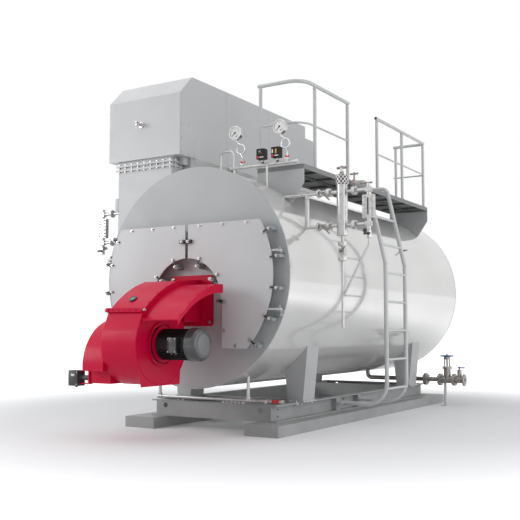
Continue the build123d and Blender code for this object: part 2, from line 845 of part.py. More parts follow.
# Drain below the water column
drain = rod((column_x, gauge_y, axis_z - 527), (column_x, gauge_y, column_bottom_z), 14)
drain_high_z = column_bottom_z - 84
drain_low_z = column_bottom_z - 234
for z in (drain_high_z, drain_low_z):
    drain = drain + rod((column_x, gauge_y, z - 18), (column_x, gauge_y, z + 18), 46)
drain = drain + Pos(column_x, gauge_y, (drain_high_z + drain_low_z) / 2) * Box(64, 60, 70)
drain = drain + tube([
    (gauge_x, gauge_y, level_low_z - 60), (gauge_x, gauge_y, column_bottom_z - 90),
    (column_x, gauge_y, column_bottom_z - 616),
], 11)
save(drain, "column_drain")


# Instrument manifold and what stands on it
manifold_end = (manifold_right_x, manifold_y, manifold_z)
manifold = rod((manifold_left_x, manifold_y, manifold_z), manifold_end, manifold_r)
for x in (manifold_left_x + 60, 620):
    manifold = manifold + rod((x, manifold_y, shell_height(x) - 20), (x, manifold_y, manifold_z), 12)
manifold = manifold - shell_space
manifold_space = rod(
    (manifold_left_x - 20, manifold_y, manifold_z), (manifold_right_x + 20, manifold_y, manifold_z),
    manifold_r + seat,
)
save(manifold.solids().sort_by(SortBy.VOLUME)[-1], "gauge_manifold")


def pressure_gauge(x_foot, x_dial):
    """A dial on a looped siphon pipe, which stands on its cock."""
    loop_x = x_dial + siphon_shift
    loop = Pos(loop_x, manifold_y, siphon_z) * Rot(90, 0, 0) * Torus(siphon_r, 7)
    stem = tube([
        (x_foot, manifold_y, manifold_z), (x_foot, manifold_y, siphon_z - 90),
        (loop_x, manifold_y, siphon_z - siphon_r),
    ], 8)
    neck = tube([
        (loop_x, manifold_y, siphon_z + siphon_r), (x_dial + 20, manifold_y, siphon_z + 80),
        (x_dial, manifold_y, dial_z - dial_r + 6),
    ], 8)
    front_y = manifold_y - dial_case_t / 2
    dial = rod((x_dial, front_y, dial_z), (x_dial, front_y + dial_case_t, dial_z), dial_r)
    dial = dial - rod((x_dial, front_y, dial_z), (x_dial, front_y + 7, dial_z), dial_r - dial_bezel)
    cock = box(x_foot - 18, x_foot + 18, manifold_y - 16, manifold_y + 16, manifold_z + 28, manifold_z + 60)
    return (loop + stem + neck + dial + cock) - manifold_space


save(pressure_gauge(left_cock_x, left_dial_x), "pressure_gauge_left")
save(pressure_gauge(right_cock_x, right_dial_x), "pressure_gauge_right")


def pressure_switch(x):
    """A switch box on a short stem over the manifold."""
    z0 = manifold_z + switch_rise
    body = box(
        x - switch_width / 2, x + switch_width / 2,
        switch_front_y, switch_front_y + switch_depth, z0, z0 + switch_height,
    )
    stem = rod((x, manifold_y, manifold_z), (x, manifold_y, z0 + 2), 12)
    return (body + stem) - manifold_space


save(Compound(children=[pressure_switch(x) for x in (left_switch_x, right_switch_x)]), "pressure_switches")

# Bent pipe loop on the crown of the shell
vent = tube([
    (30, manifold_y, shell_top_z - 20), (30, manifold_y, manifold_z + vent_rise),
    (manifold_left_x + 50, manifold_y, manifold_z + vent_rise),
    (manifold_left_x + 50, manifold_y, manifold_z + 13),
], 13, 50)
vent = vent - shell_space - manifold_space
save(vent.solids().sort_by(SortBy.VOLUME)[-1], "vent_loop")

# Blowdown pipe from the bottom of the shell
blow = tube([
    (0, blow_y, axis_z - shell_r + 20), (0, blow_y, blow_z), (gate_x - 150, blow_y, blow_z),
], blow_pipe_r, 60)
blow = blow + flange((gate_x - 340, blow_y, blow_z), (1, 0, 0), blow_flange_r, 2 * blow_flange_t)
blow = blow + flange((gate_x - 140, blow_y, blow_z), (1, 0, 0), blow_flange_r, blow_flange_t)
blow = blow - shell_space
save(blow.solids().sort_by(SortBy.VOLUME)[-1], "blowdown_pipe")

# Gate valve with its rising spindle
gate = flange((gate_x - 120, blow_y, blow_z), (1, 0, 0), blow_flange_r, blow_flange_t)
gate = gate + flange((gate_x + 60, blow_y, blow_z), (1, 0, 0), blow_flange_r, blow_flange_t)
gate = gate + rod((gate_x - 115, blow_y, blow_z), (gate_x + 55, blow_y, blow_z), 50)
gate = gate + rod((gate_x - 30, blow_y, blow_z), (gate_x - 30, blow_y, blow_z + 150), 48)
gate = gate + rod((gate_x - 30, blow_y, blow_z + 150), (gate_x - 30, blow_y, blow_z + 170), 66)
for x in (gate_x - 30 - yoke_half, gate_x - 30 + yoke_half):
    gate = gate + rod((x, blow_y, blow_z + 165), (x, blow_y, wheel_z - 40), 9)
gate = gate + rod((gate_x - 30, blow_y, wheel_z - 48), (gate_x - 30, blow_y, wheel_z - 12), yoke_half + 9)
gate = gate + rod((gate_x - 30, blow_y, blow_z + 150), (gate_x - 30, blow_y, wheel_z + 30), 11)
save(gate, "gate_valve")

# Handwheel
wheel = Pos(gate_x - 30, blow_y, wheel_z) * Torus(wheel_r, 9)
wheel = wheel + Pos(gate_x - 30, blow_y, wheel_z) * Cylinder(24, 20)
for k in range(3):
    angle = math.radians(30 + 120 * k)
    tip = (gate_x - 30 + wheel_r * math.cos(angle), blow_y + wheel_r * math.sin(angle), wheel_z)
    wheel = wheel + rod((gate_x - 30, blow_y, wheel_z), tip, 7)
wheel = wheel - Pos(gate_x - 30, blow_y, wheel_z) * Cylinder(11 + running_gap, 40)
save(wheel, "gate_handwheel")

# Quick valve and its lever
quick = flange((quick_x - 80, blow_y, blow_z), (1, 0, 0), blow_flange_r, blow_flange_t)
quick = quick + flange((quick_x + 50, blow_y, blow_z), (1, 0, 0), blow_flange_r, blow_flange_t)
quick = quick + rod((quick_x - 72, blow_y, blow_z), (quick_x + 42, blow_y, blow_z), 45)
quick = quick + rod((quick_x - 15, blow_y, blow_z), (quick_x - 15, blow_y, blow_z + 140), 30)
quick = quick + rod((quick_x - 15, blow_y, blow_z + 140), (quick_x - 15, blow_y, blow_z + 185), 10)
for k in range(4):
    angle = math.radians(45 + 90 * k)
    y = blow_y + blow_bolt_circle / 2 * math.cos(angle)
    z = blow_z + blow_bolt_circle / 2 * math.sin(angle)
    quick = quick - rod((quick_x + 30, y, z), (quick_x + 70, y, z), blow_bolt_r)
quick = quick - rod((quick_x, blow_y, blow_z), (quick_x + 70, blow_y, blow_z), blow_bore_r)
save(quick, "quick_valve")
lever = box(quick_x - 35, quick_x + 60, blow_y - 12, blow_y + 12, blow_z + 160, blow_z + 175)
lever = lever + Pos(quick_x - 15, blow_y, blow_z + 167.5) * Cylinder(20, 15)
lever = lever - Pos(quick_x - 15, blow_y, blow_z + 167.5) * Cylinder(10 + running_gap, 20)
save(lever, "quick_lever")

# Floor post under the blowdown valves
post = rod((gate_x - 62, blow_y, 0), (gate_x - 62, blow_y, blow_z - 50), 18)
post = post + rod((gate_x - 62, blow_y, 0), (gate_x - 62, blow_y, 10), 60)
save(post, "blowdown_post")

# Drain header in front of the cross channel, hung from the shell by two risers
header = rod((header_left_x, header_y, header_z), (header_right_x, header_y, header_z), header_r)
for x in (riser_left_x, riser_right_x):
    header = header + rod((x, header_y, header_z), (x, header_y, axis_z), header_r)
header = header - shell_space
save(header.solids().sort_by(SortBy.VOLUME)[-1], "drain_header")
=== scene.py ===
import math

import bmesh
import bpy
from mathutils import Matrix, Vector


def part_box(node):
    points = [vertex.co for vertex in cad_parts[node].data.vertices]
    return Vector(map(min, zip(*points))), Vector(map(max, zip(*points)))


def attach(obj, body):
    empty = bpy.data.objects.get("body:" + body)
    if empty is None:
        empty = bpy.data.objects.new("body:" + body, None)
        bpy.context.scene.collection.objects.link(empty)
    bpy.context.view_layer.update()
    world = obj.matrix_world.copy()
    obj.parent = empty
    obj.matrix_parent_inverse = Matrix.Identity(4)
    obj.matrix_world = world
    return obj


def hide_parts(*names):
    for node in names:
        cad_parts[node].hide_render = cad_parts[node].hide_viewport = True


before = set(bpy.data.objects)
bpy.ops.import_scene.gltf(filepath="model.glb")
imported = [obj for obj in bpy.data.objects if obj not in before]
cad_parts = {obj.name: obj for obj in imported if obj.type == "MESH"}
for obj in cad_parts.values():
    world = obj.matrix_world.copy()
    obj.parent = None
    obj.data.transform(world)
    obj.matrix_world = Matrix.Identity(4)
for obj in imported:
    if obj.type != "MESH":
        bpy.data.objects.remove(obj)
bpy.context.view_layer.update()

# Room: a pale seamless floor, soft daylight from above and from both sides, and the camera
# low in front of the right-hand side. The floor and sky show as white, and the floor keeps
# the soft shadow under the skids.
camera_place = (5.058, -8.869, 1.045)
camera_tilt = math.radians(90 + 4.869)
camera_turn = math.radians(31.607)
white = (1, 1, 1, 1)
sky_tone = (0.96, 0.98, 1.0, 1)
sky_light = 0.40
floor_tone = (0.80, 0.80, 0.81, 1)
floor_reach = 600.0
white_from = 3.0
white_to = 8.0
white_least = 0.02

camera_data = bpy.data.cameras.new("camera")
camera_data.sensor_width = 36.0
camera_data.lens = 57.08
camera_data.clip_end = 2000.0
camera = bpy.data.objects.new("camera", camera_data)
bpy.context.scene.collection.objects.link(camera)
camera.location = camera_place
camera.rotation_euler = (camera_tilt, 0, camera_turn)
bpy.context.scene.camera = camera

bpy.context.scene.view_settings.view_transform = "Standard"
room = bpy.data.worlds.new("room")
bpy.context.scene.world = room
room.use_nodes = True
room_nodes = room.node_tree.nodes
room_links = room.node_tree.links
room_nodes.clear()


def node(nodes, kind, **values):
    """A new shader node with its starting values, each under the name of its socket."""
    made = nodes.new("ShaderNode" + kind)
    for label, value in values.items():
        made.inputs[label.replace("_", " ")].default_value = value
    return made


def reckon(tree, operation, first, second):
    """Makes one value of two, such as their product or the larger one."""
    step = tree.nodes.new("ShaderNodeMath")
    step.operation = operation
    tree.links.new(first, step.inputs[0])
    if isinstance(second, float):
        step.inputs[1].default_value = second
    else:
        tree.links.new(second, step.inputs[1])
    return step.outputs[0]


def seen_by_eye(tree):
    """One where the camera, a mirror or a glass looks, and none for the light itself."""
    ray = node(tree.nodes, "LightPath").outputs
    mirror_or_glass = reckon(tree, "MAXIMUM", ray["Is Glossy Ray"], ray["Is Transmission Ray"])
    return reckon(tree, "MAXIMUM", ray["Is Camera Ray"], mirror_or_glass)


sky_out = node(room_nodes, "OutputWorld")
sky_mix = node(room_nodes, "MixShader")
sky_soft = node(room_nodes, "Background", Color=sky_tone, Strength=sky_light)
sky_seen = node(room_nodes, "Background", Color=white, Strength=1.0)
room_links.new(seen_by_eye(room.node_tree), sky_mix.inputs["Fac"])
room_links.new(sky_soft.outputs[0], sky_mix.inputs[1])
room_links.new(sky_seen.outputs[0], sky_mix.inputs[2])
room_links.new(sky_mix.outputs[0], sky_out.inputs["Surface"])


def soft_lamp(name, place, aim, width, height, power):
    """A rectangular studio lamp that looks at a point."""
    data = bpy.data.lights.new(name, "AREA")
    data.shape = "RECTANGLE"
    data.size = width
    data.size_y = height
    data.energy = power
    lamp = bpy.data.objects.new(name, data)
    bpy.context.scene.collection.objects.link(lamp)
    lamp.location = place
    turn = (Vector(aim) - Vector(place)).to_track_quat("-Z", "Y")
    lamp.rotation_euler = turn.to_euler()


soft_lamp("ceiling_lamp", (-1.5, -3.0, 9.0), (0, 0, 1), width=14.0, height=14.0, power=520)
soft_lamp("right_lamp", (9.0, 0.5, 3.2), (0.5, 0.5, 1.5), width=12.0, height=6.0, power=400)
soft_lamp("front_lamp", (-8.5, -8.5, 4.2), (0, -2.0, 1.6), width=4.0, height=4.0, power=430)

floor_corners = [
    (across * floor_reach, along * floor_reach, 0)
    for across, along in ((-1, -1), (1, -1), (1, 1), (-1, 1))
]
floor_mesh = bpy.data.meshes.new("floor")
floor_mesh.from_pydata(floor_corners, [], [(0, 1, 2, 3)])
floor = bpy.data.objects.new("floor", floor_mesh)
bpy.context.scene.collection.objects.link(floor)
floor_paint = bpy.data.materials.new("pale_floor")
floor_paint.use_nodes = True
floor_nodes = floor_paint.node_tree.nodes
floor_links = floor_paint.node_tree.links
floor_nodes.clear()
floor_out = node(floor_nodes, "OutputMaterial")
floor_add = node(floor_nodes, "AddShader")
floor_matt = node(floor_nodes, "BsdfDiffuse", Color=floor_tone)
floor_lift = node(floor_nodes, "Emission", Color=white)
floor_place = node(floor_nodes, "TexCoord")
floor_far = node(floor_nodes, "VectorMath")
floor_far.operation = "LENGTH"
floor_rise = node(
    floor_nodes, "MapRange", From_Min=white_from, From_Max=white_to, To_Min=white_least, To_Max=1.0,
)
floor_rise.interpolation_type = "SMOOTHSTEP"
floor_links.new(floor_place.outputs["Object"], floor_far.inputs[0])
floor_links.new(floor_far.outputs["Value"], floor_rise.inputs["Value"])
floor_eye = seen_by_eye(floor_paint.node_tree)
floor_share = reckon(floor_paint.node_tree, "MULTIPLY", floor_eye, floor_rise.outputs["Result"])
floor_links.new(floor_share, floor_lift.inputs["Strength"])
floor_links.new(floor_matt.outputs[0], floor_add.inputs[0])
floor_links.new(floor_lift.outputs[0], floor_add.inputs[1])
floor_links.new(floor_add.outputs[0], floor_out.inputs["Surface"])
floor_mesh.materials.append(floor_paint)


# Drum cladding: one smooth wrapper of polished sheet rolled round the insulated drum and
# closed at its ends by the two end plates. It mirrors the ladder and the pipes beside it.
def node_set(name):
    """A new material with its main shader, ready for the pattern of its piece."""
    finish = bpy.data.materials.new(name)
    finish.use_nodes = True
    nodes = finish.node_tree.nodes
    nodes.clear()
    out = node(nodes, "OutputMaterial")
    shader = node(nodes, "BsdfPrincipled")
    finish.node_tree.links.new(shader.outputs[0], out.inputs["Surface"])
    return finish, nodes, finish.node_tree.links, shader


def place_pattern(nodes, links, stretch=(1.0, 1.0, 1.0)):
    """The object's own coordinates, stretched along its grain."""
    place = node(nodes, "TexCoord")
    mapping = node(nodes, "Mapping", Scale=stretch)
    links.new(place.outputs["Object"], mapping.inputs["Vector"])
    return mapping


def cloud(nodes, links, mapping, scale, detail=3.0):
    """A soft noise read from a mapping."""
    noise = node(nodes, "TexNoise", Scale=scale, Detail=detail)
    links.new(mapping.outputs["Vector"], noise.inputs["Vector"])
    return noise


def span(nodes, links, noise, low, high):
    """Spreads the middle of a noise over a range of values."""
    ranged = node(nodes, "MapRange", From_Min=0.3, From_Max=0.7, To_Min=low, To_Max=high)
    links.new(noise.outputs["Fac"], ranged.inputs["Value"])
    return ranged.outputs["Result"]


def tone(nodes, links, pattern, dark, light, dark_to=0.32, light_from=0.68):
    """A colour that wanders between two close tones."""
    ramp = node(nodes, "ValToRGB")
    ramp.color_ramp.elements[0].position = dark_to
    ramp.color_ramp.elements[0].color = (*dark, 1)
    ramp.color_ramp.elements[1].position = light_from
    ramp.color_ramp.elements[1].color = (*light, 1)
    links.new(pattern, ramp.inputs["Fac"])
    return ramp.outputs["Color"]


def relief(nodes, links, shader, noise, depth_mm, strength=1.0):
    """Raises the surface a little by a noise."""
    bump = node(nodes, "Bump", Distance=depth_mm / 1000, Strength=strength)
    links.new(noise.outputs["Fac"], bump.inputs["Height"])
    links.new(bump.outputs["Normal"], shader.inputs["Normal"])


def keep(name, mesh, body, smooth):
    """Adds a finished mesh as a piece that rides on a body."""
    mesh.name = name
    piece = bpy.data.objects.new(name, mesh)
    bpy.context.scene.collection.objects.link(piece)
    mesh.shade_smooth()
    mesh.set_sharp_from_angle(angle=math.radians(smooth))
    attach(piece, body)
    return piece


def finished(name, shape, finish, body="boiler", smooth=35):
    """Turns a shape into a piece with its faces outwards."""
    bmesh.ops.recalc_face_normals(shape, faces=shape.faces)
    mesh = bpy.data.meshes.new(name)
    shape.to_mesh(mesh)
    shape.free()
    mesh.materials.append(finish)
    return keep(name, mesh, body, smooth)


def around(count, radius, start=0.0):
    """Pairs of places on a circle, evenly spaced from a starting angle."""
    angles = [start + 2 * math.pi * step / count for step in range(count)]
    return [(radius * math.cos(angle), radius * math.sin(angle)) for angle in angles]


def join_loops(shape, first, second):
    """Skins the gap between two rings of points; a ring of one point is a tip."""
    steps = max(len(first), len(second))
    for step in range(steps):
        ahead = (step + 1) % steps
        if len(first) == 1:
            shape.faces.new((first[0], second[ahead], second[step]))
        elif len(second) == 1:
            shape.faces.new((first[step], first[ahead], second[0]))
        else:
            shape.faces.new((first[step], first[ahead], second[ahead], second[step]))


cladding, nodes, links, shader = node_set("polished_cladding")
along_drum = place_pattern(nodes, links, (1.0, 0.35, 1.0))
sheen = cloud(nodes, links, along_drum, 2.2)
shade = tone(nodes, links, sheen.outputs["Fac"], (0.640, 0.638, 0.628), (0.700, 0.698, 0.688))
links.new(shade, shader.inputs["Base Color"])
rub = cloud(nodes, links, along_drum, 9.0)
links.new(span(nodes, links, rub, 0.07, 0.13), shader.inputs["Roughness"])
shader.inputs["Metallic"].default_value = 0.38
waves = place_pattern(nodes, links, (1.0, 0.5, 1.0))
ripple = cloud(nodes, links, waves, 1.6, 1.0)
relief(nodes, links, shader, ripple, depth_mm=6.0, strength=0.5)

drum_steps = 256
lip_run = 0.004
lip_drop = 0.003
drum_low, drum_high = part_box("boiler_shell")
drum_r = (drum_high.x - drum_low.x) / 2
drum_z = (drum_high.z + drum_low.z) / 2
drum_side = [
    (drum_low.y, drum_r - lip_drop), (drum_low.y + lip_run, drum_r),
    (drum_high.y - lip_run, drum_r), (drum_high.y, drum_r - lip_drop),
]
wrap = bmesh.new()
rings = []
for y, radius in drum_side:
    rings.append([wrap.verts.new((x, y, drum_z + z)) for x, z in around(drum_steps, radius)])
for first, second in zip(rings, rings[1:]):
    join_loops(wrap, first, second)
drum_cladding = finished("drum_cladding", wrap, cladding, smooth=25)
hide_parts("boiler_shell")


# End plates: flame-cut steel discs welded to the drum, sprayed in a satin grey that shows
# fine orange peel and a slightly cloudy tone. A weld bead runs round the front one.
def sprayed(name, dark, light, rough, grain=160.0, peel_mm=0.06, coat=0.0, cloudy=1.4, shine=0.4):
    """Sprayed paint: close tones, fine orange peel and rubbed patches in the gloss."""
    finish, nodes, links, shader = node_set(name)
    even = place_pattern(nodes, links)
    drift = cloud(nodes, links, even, cloudy, 4.0)
    links.new(tone(nodes, links, drift.outputs["Fac"], dark, light), shader.inputs["Base Color"])
    rubbed = cloud(nodes, links, even, 5.0)
    links.new(span(nodes, links, rubbed, rough - 0.06, rough + 0.06), shader.inputs["Roughness"])
    peel = cloud(nodes, links, even, grain, 2.0)
    relief(nodes, links, shader, peel, peel_mm)
    shader.inputs["Specular IOR Level"].default_value = shine
    shader.inputs["Coat Weight"].default_value = coat
    return finish


def dress(names, finish):
    """Gives CAD pieces their finish."""
    for name in names:
        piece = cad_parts[name]
        piece.data.materials.clear()
        piece.data.materials.append(finish)


def pipe(shape, points, radius, steps=12, closed=False):
    """Adds a round bar that follows points."""
    points = [Vector(point) for point in points]
    count = len(points)
    loops = []
    side = None
    for index, point in enumerate(points):
        before = points[index - 1] if closed or index > 0 else point
        after = points[(index + 1) % count] if closed or index < count - 1 else point
        ahead = (after - before).normalized()
        side = ahead.orthogonal() if side is None else side
        side = (side - ahead * side.dot(ahead)).normalized()
        other = ahead.cross(side)
        loops.append([shape.verts.new(point + side * a + other * b) for a, b in around(steps, radius)])
    for first, second in zip(loops, loops[1:]):
        join_loops(shape, first, second)
    if closed:
        join_loops(shape, loops[-1], loops[0])
    else:
        shape.faces.new(loops[0])
        shape.faces.new(loops[-1])


plate_t = 0.014
plate_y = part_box("front_plate")[1].y - plate_t


def at(x, y, z):
    """A point measured from the face of the front plate."""
    return Vector((x, y + plate_y, z))


plate_paint = sprayed("end_plate_paint", (0.385, 0.392, 0.400), (0.420, 0.427, 0.435), 0.42)
dress(("front_plate", "rear_plate"), plate_paint)
weld_y = 0.017
weld_r = 0.006
weld = bmesh.new()
weld_line = [at(x, weld_y, drum_z + z) for x, z in around(64, drum_r)]
pipe(weld, weld_line, weld_r, 8, closed=True)
finished("end_plate_weld", weld, plate_paint, smooth=60)


# Smokebox doors: two plate leaves with a lined box behind, which close the tube ends round
# the burner. Painted a lighter grey, they hang on welded hinges in a darker green-grey.
door_paint = sprayed(
    "door_paint", (0.500, 0.507, 0.517), (0.535, 0.542, 0.552), 0.36, coat=0.03,
)
dress(("smokebox_door_left", "smokebox_door_right"), door_paint)
hinge_paint = sprayed("hinge_paint", (0.25, 0.285, 0.275), (0.30, 0.33, 0.32), 0.40)
dress(("door_hinges",), hinge_paint)


# Door clamps: bright zinc-plated nuts along the rim of each leaf. Where the leaf needs to be
# drawn on to its seal, a dark steel bar runs from the nut to a lug welded to the end plate.
def plated(name, dark, light, rough, grain, speck_mm, metallic=1.0):
    """Bare or plated metal with a fine grain and patchy gloss."""
    finish, nodes, links, shader = node_set(name)
    even = place_pattern(nodes, links)
    drift = cloud(nodes, links, even, 24.0)
    links.new(tone(nodes, links, drift.outputs["Fac"], dark, light), shader.inputs["Base Color"])
    links.new(span(nodes, links, drift, rough - 0.07, rough + 0.07), shader.inputs["Roughness"])
    speck = cloud(nodes, links, even, grain, 2.0)
    relief(nodes, links, shader, speck, speck_mm)
    shader.inputs["Metallic"].default_value = metallic
    return finish


def block(shape, low, high, bevel=0.0, turn=None):
    """Adds a block between two corners, its edges eased, turned about its own middle."""
    made = bmesh.ops.create_cube(shape, size=1.0)["verts"]
    size = Vector(high) - Vector(low)
    middle = (Vector(high) + Vector(low)) / 2
    for vert in made:
        spot = Vector((vert.co.x * size.x, vert.co.y * size.y, vert.co.z * size.z))
        vert.co = (turn @ spot if turn else spot) + middle
    if bevel > 0:
        edges = list({edge for vert in made for edge in vert.link_edges})
        bmesh.ops.bevel(shape, geom=edges, offset=bevel, segments=2, affect="EDGES", profile=0.5)


def tree_with(name, sizes):
    """An empty geometry tree with named inputs and the points that come in."""
    tree = bpy.data.node_groups.new(name, "GeometryNodeTree")
    tree.interface.new_socket("Geometry", in_out="INPUT", socket_type="NodeSocketGeometry")
    for label, value in sizes.items():
        socket = tree.interface.new_socket(label, in_out="INPUT", socket_type="NodeSocketFloat")
        socket.default_value = value
    tree.interface.new_socket("Geometry", in_out="OUTPUT", socket_type="NodeSocketGeometry")
    start = tree.nodes.new("NodeGroupInput")
    end = tree.nodes.new("NodeGroupOutput")
    return tree, start, end


def make_bolts(name, finish):
    """A tree that sets a washer, a six-sided nut and a stud end on every point."""
    sizes = {"Across": 0.03, "Height": 0.02, "Washer": 0.042, "Stud": 0.012}
    tree, start, end = tree_with(name, sizes)
    add = tree.nodes.new
    join = tree.links.new

    def barrel(sides, radius, depth):
        """A bar with flat sides that stands on the point."""
        solid = add("GeometryNodeMeshCylinder")
        solid.inputs["Vertices"].default_value = sides
        join(radius, solid.inputs["Radius"])
        join(depth, solid.inputs["Depth"])
        lift = add("ShaderNodeCombineXYZ")
        join(reckon(tree, "MULTIPLY", depth, 0.5), lift.inputs["Z"])
        raised = add("GeometryNodeTransform")
        join(solid.outputs["Mesh"], raised.inputs["Geometry"])
        join(lift.outputs[0], raised.inputs["Translation"])
        return raised.outputs[0]

    corner_share = 0.5774
    washer_share = 0.10
    stud_share = 0.25
    across = start.outputs["Across"]
    height = start.outputs["Height"]
    reach = reckon(tree, "ADD", height, start.outputs["Stud"])
    washer_r = reckon(tree, "MULTIPLY", start.outputs["Washer"], 0.5)
    nut = barrel(6, reckon(tree, "MULTIPLY", across, corner_share), height)
    washer = barrel(20, washer_r, reckon(tree, "MULTIPLY", across, washer_share))
    stud = barrel(12, reckon(tree, "MULTIPLY", across, stud_share), reach)
    whole = add("GeometryNodeJoinGeometry")
    for part in (nut, washer, stud):
        join(part, whole.inputs[0])
    facing = add("GeometryNodeInputNamedAttribute")
    facing.data_type = "FLOAT_VECTOR"
    facing.inputs["Name"].default_value = "facing"
    turn = add("FunctionNodeAlignRotationToVector")
    turn.axis = "Z"
    join(facing.outputs["Attribute"], turn.inputs["Vector"])
    spread = add("GeometryNodeInstanceOnPoints")
    join(start.outputs["Geometry"], spread.inputs["Points"])
    join(whole.outputs[0], spread.inputs["Instance"])
    join(turn.outputs["Rotation"], spread.inputs["Rotation"])
    real = add("GeometryNodeRealizeInstances")
    join(spread.outputs[0], real.inputs[0])
    coat = add("GeometryNodeSetMaterial")
    coat.inputs["Material"].default_value = finish
    join(real.outputs[0], coat.inputs["Geometry"])
    join(coat.outputs[0], end.inputs["Geometry"])
    return tree


washer_over = 1.45


def bolts(name, spots, tree, across, body="boiler", stud=0.5, height=0.75):
    """Sets a bolt on each pair of place and facing, and keeps the plain mesh."""
    washer = across * washer_over
    sizes = {"Across": across, "Height": across * height, "Washer": washer, "Stud": across * stud}
    seed = bpy.data.meshes.new(name + "_points")
    seed.from_pydata([tuple(place) for place, _ in spots], [], [])
    facing = seed.attributes.new("facing", "FLOAT_VECTOR", "POINT")
    for index, (_, direction) in enumerate(spots):
        facing.data[index].vector = direction
    holder = bpy.data.objects.new(name + "_points", seed)
    bpy.context.scene.collection.objects.link(holder)
    maker = holder.modifiers.new("grow", "NODES")
    maker.node_group = tree
    for item in tree.interface.items_tree:
        if item.item_type == "SOCKET" and item.in_out == "INPUT" and item.name in sizes:
            maker[item.identifier] = sizes[item.name]
    shown = holder.evaluated_get(bpy.context.evaluated_depsgraph_get())
    mesh = bpy.data.meshes.new_from_object(shown)
    holder.modifiers.remove(maker)
    bpy.data.objects.remove(holder)
    bpy.data.meshes.remove(seed)
    if "facing" in mesh.attributes:
        mesh.attributes.remove(mesh.attributes["facing"])
    return keep(name, mesh, body, smooth=32)


zinc = plated("bright_zinc", (0.44, 0.42, 0.41), (0.60, 0.57, 0.56), 0.30, 260.0, 0.03)
# Near-black steel of the clamp bars and cock grips; on the column head it also serves as painted shade in
# the knurl's grooves.
clamp_steel_and_groove_shade = plated(
    "clamp_steel_and_groove_shade", (0.035, 0.033, 0.033), (0.060, 0.055, 0.052), 0.42, 180.0, 0.045, metallic=0.6,
)
zinc_bolts = make_bolts("zinc_bolts", zinc)
forward = (0.0, -1.0, 0.0)
upward = (0.0, 0.0, 1.0)
downward = (0.0, 0.0, -1.0)
rightward = (1.0, 0.0, 0.0)
leftward = (-1.0, 0.0, 0.0)
door_face_y = -0.120
bar_t = 0.008
bar_overhang = 0.014
bar_half_width = 0.009
bar_ease = 0.0015
lug_reach = 0.080
lug_y = -0.0525
lug_half = Vector((0.024, 0.0515, 0.017))
lug_ease = 0.002
latch_y = -0.150
latch_z = 1.949
latch_half_height = 0.019
latch_from = 0.004
latch_to = 0.075
latch_nut_x = 0.040
latch_ease = 0.003
door_nut = 0.021
arch_z = 1.350
rim_clamps = [(0.915, 1.995), (0.995, 1.747), (0.994, 1.460), (0.919, 1.190), (0.775, 0.951)]
arch_clamps = [(0.168, 1.770), (0.386, 1.599), (0.475, 1.330)]
plain_nuts = [(0.165, 2.106), (0.444, 2.106), (0.728, 2.106), (0.607, 0.893), (0.476, 1.044)]
for side, hand, body in ((1, "right", "boiler"), (-1, "left", "door_leaf_left")):
    bars = bmesh.new()
    lugs = bmesh.new()
    nuts = [(at(side * x, door_face_y, z), forward) for x, z in plain_nuts]
    holds = [(x, z, Vector((x, 0, z - drum_z)).normalized()) for x, z in rim_clamps]
    holds += [(x, z, -Vector((x, 0, z - arch_z)).normalized()) for x, z in arch_clamps]
    for x, z, out in holds:
        out = Vector((side * out.x, 0, out.z))
        turn = Matrix.Rotation(math.atan2(-out.z, out.x), 3, "Y")
        bar = at(side * x, door_face_y - bar_t / 2, z) + out * (lug_reach / 2)
        bar_half = Vector((lug_reach / 2 + bar_overhang, bar_t / 2, bar_half_width))
        block(bars, bar - bar_half, bar + bar_half, bar_ease, turn)
        lug = at(side * x, lug_y, z) + out * lug_reach
        block(lugs, lug - lug_half, lug + lug_half, lug_ease, turn)
        bar_face = at(side * x, door_face_y - bar_t, z)
        nuts += [(bar_face, forward), (bar_face + out * lug_reach, forward)]
    latch_left, latch_right = sorted((side * latch_from, side * latch_to))
    latch_low = at(latch_left, latch_y, latch_z - latch_half_height)
    latch_high = at(latch_right, door_face_y, latch_z + latch_half_height)
    block(bars, latch_low, latch_high, latch_ease)
    nuts.append((at(side * latch_nut_x, latch_y, latch_z), forward))
    finished("clamp_bars_" + hand, bars, clamp_steel_and_groove_shade, body)
    finished("clamp_lugs_" + hand, lugs, hinge_paint)
    bolts("door_nuts_" + hand, nuts, zinc_bolts, door_nut, body=body)


# Burner: folded and rolled sheet-steel housings bolted to a square flange, in crimson
# enamel. Pan-head screws hold the lids, wire beads stiffen the rims of the fan housing, and
# a sight glass sits on the cover.
enamel = sprayed(
    "crimson_enamel", (0.520, 0.002, 0.036), (0.570, 0.004, 0.046), 0.34,
    grain=110.0, peel_mm=0.045, coat=0.03, shine=0.12,
)
burner_housings = ("burner_flange", "burner_casing", "burner_scroll", "burner_intake", "burner_hood")
dress(burner_housings, enamel)
red_screws = make_bolts("red_screws", enamel)


def lathe(shape, profile, centre, along, steps=28):
    """Adds a solid turned from pairs of radius and height round an axis."""
    turn = Vector((0, 0, 1)).rotation_difference(Vector(along).normalized()).to_matrix()
    loops = []
    for radius, height in profile:
        spots = around(steps, radius) if radius > 0 else [(0.0, 0.0)]
        loops.append([shape.verts.new(turn @ Vector((a, b, height)) + Vector(centre)) for a, b in spots])
    for first, second in zip(loops, loops[1:]):
        join_loops(shape, first, second)


def circle_through(a, b, c):
    """Middle and radius of the circle through three points of a side view."""
    spread = 2 * (a[0] * (b[1] - c[1]) + b[0] * (c[1] - a[1]) + c[0] * (a[1] - b[1]))
    sa, sb, sc = (p[0] ** 2 + p[1] ** 2 for p in (a, b, c))
    y = (sa * (b[1] - c[1]) + sb * (c[1] - a[1]) + sc * (a[1] - b[1])) / spread
    z = (sa * (c[0] - b[0]) + sb * (a[0] - c[0]) + sc * (b[0] - a[0])) / spread
    return y, z, math.hypot(a[0] - y, a[1] - z)


def on_crown(circle, x, y):
    """The place and facing of a curved cover at a distance along it."""
    mid_y, mid_z, r = circle
    z = mid_z + math.sqrt(r ** 2 - (y - mid_y) ** 2)
    return at(x, y, z), Vector((0, y - mid_y, z - mid_z)).normalized()


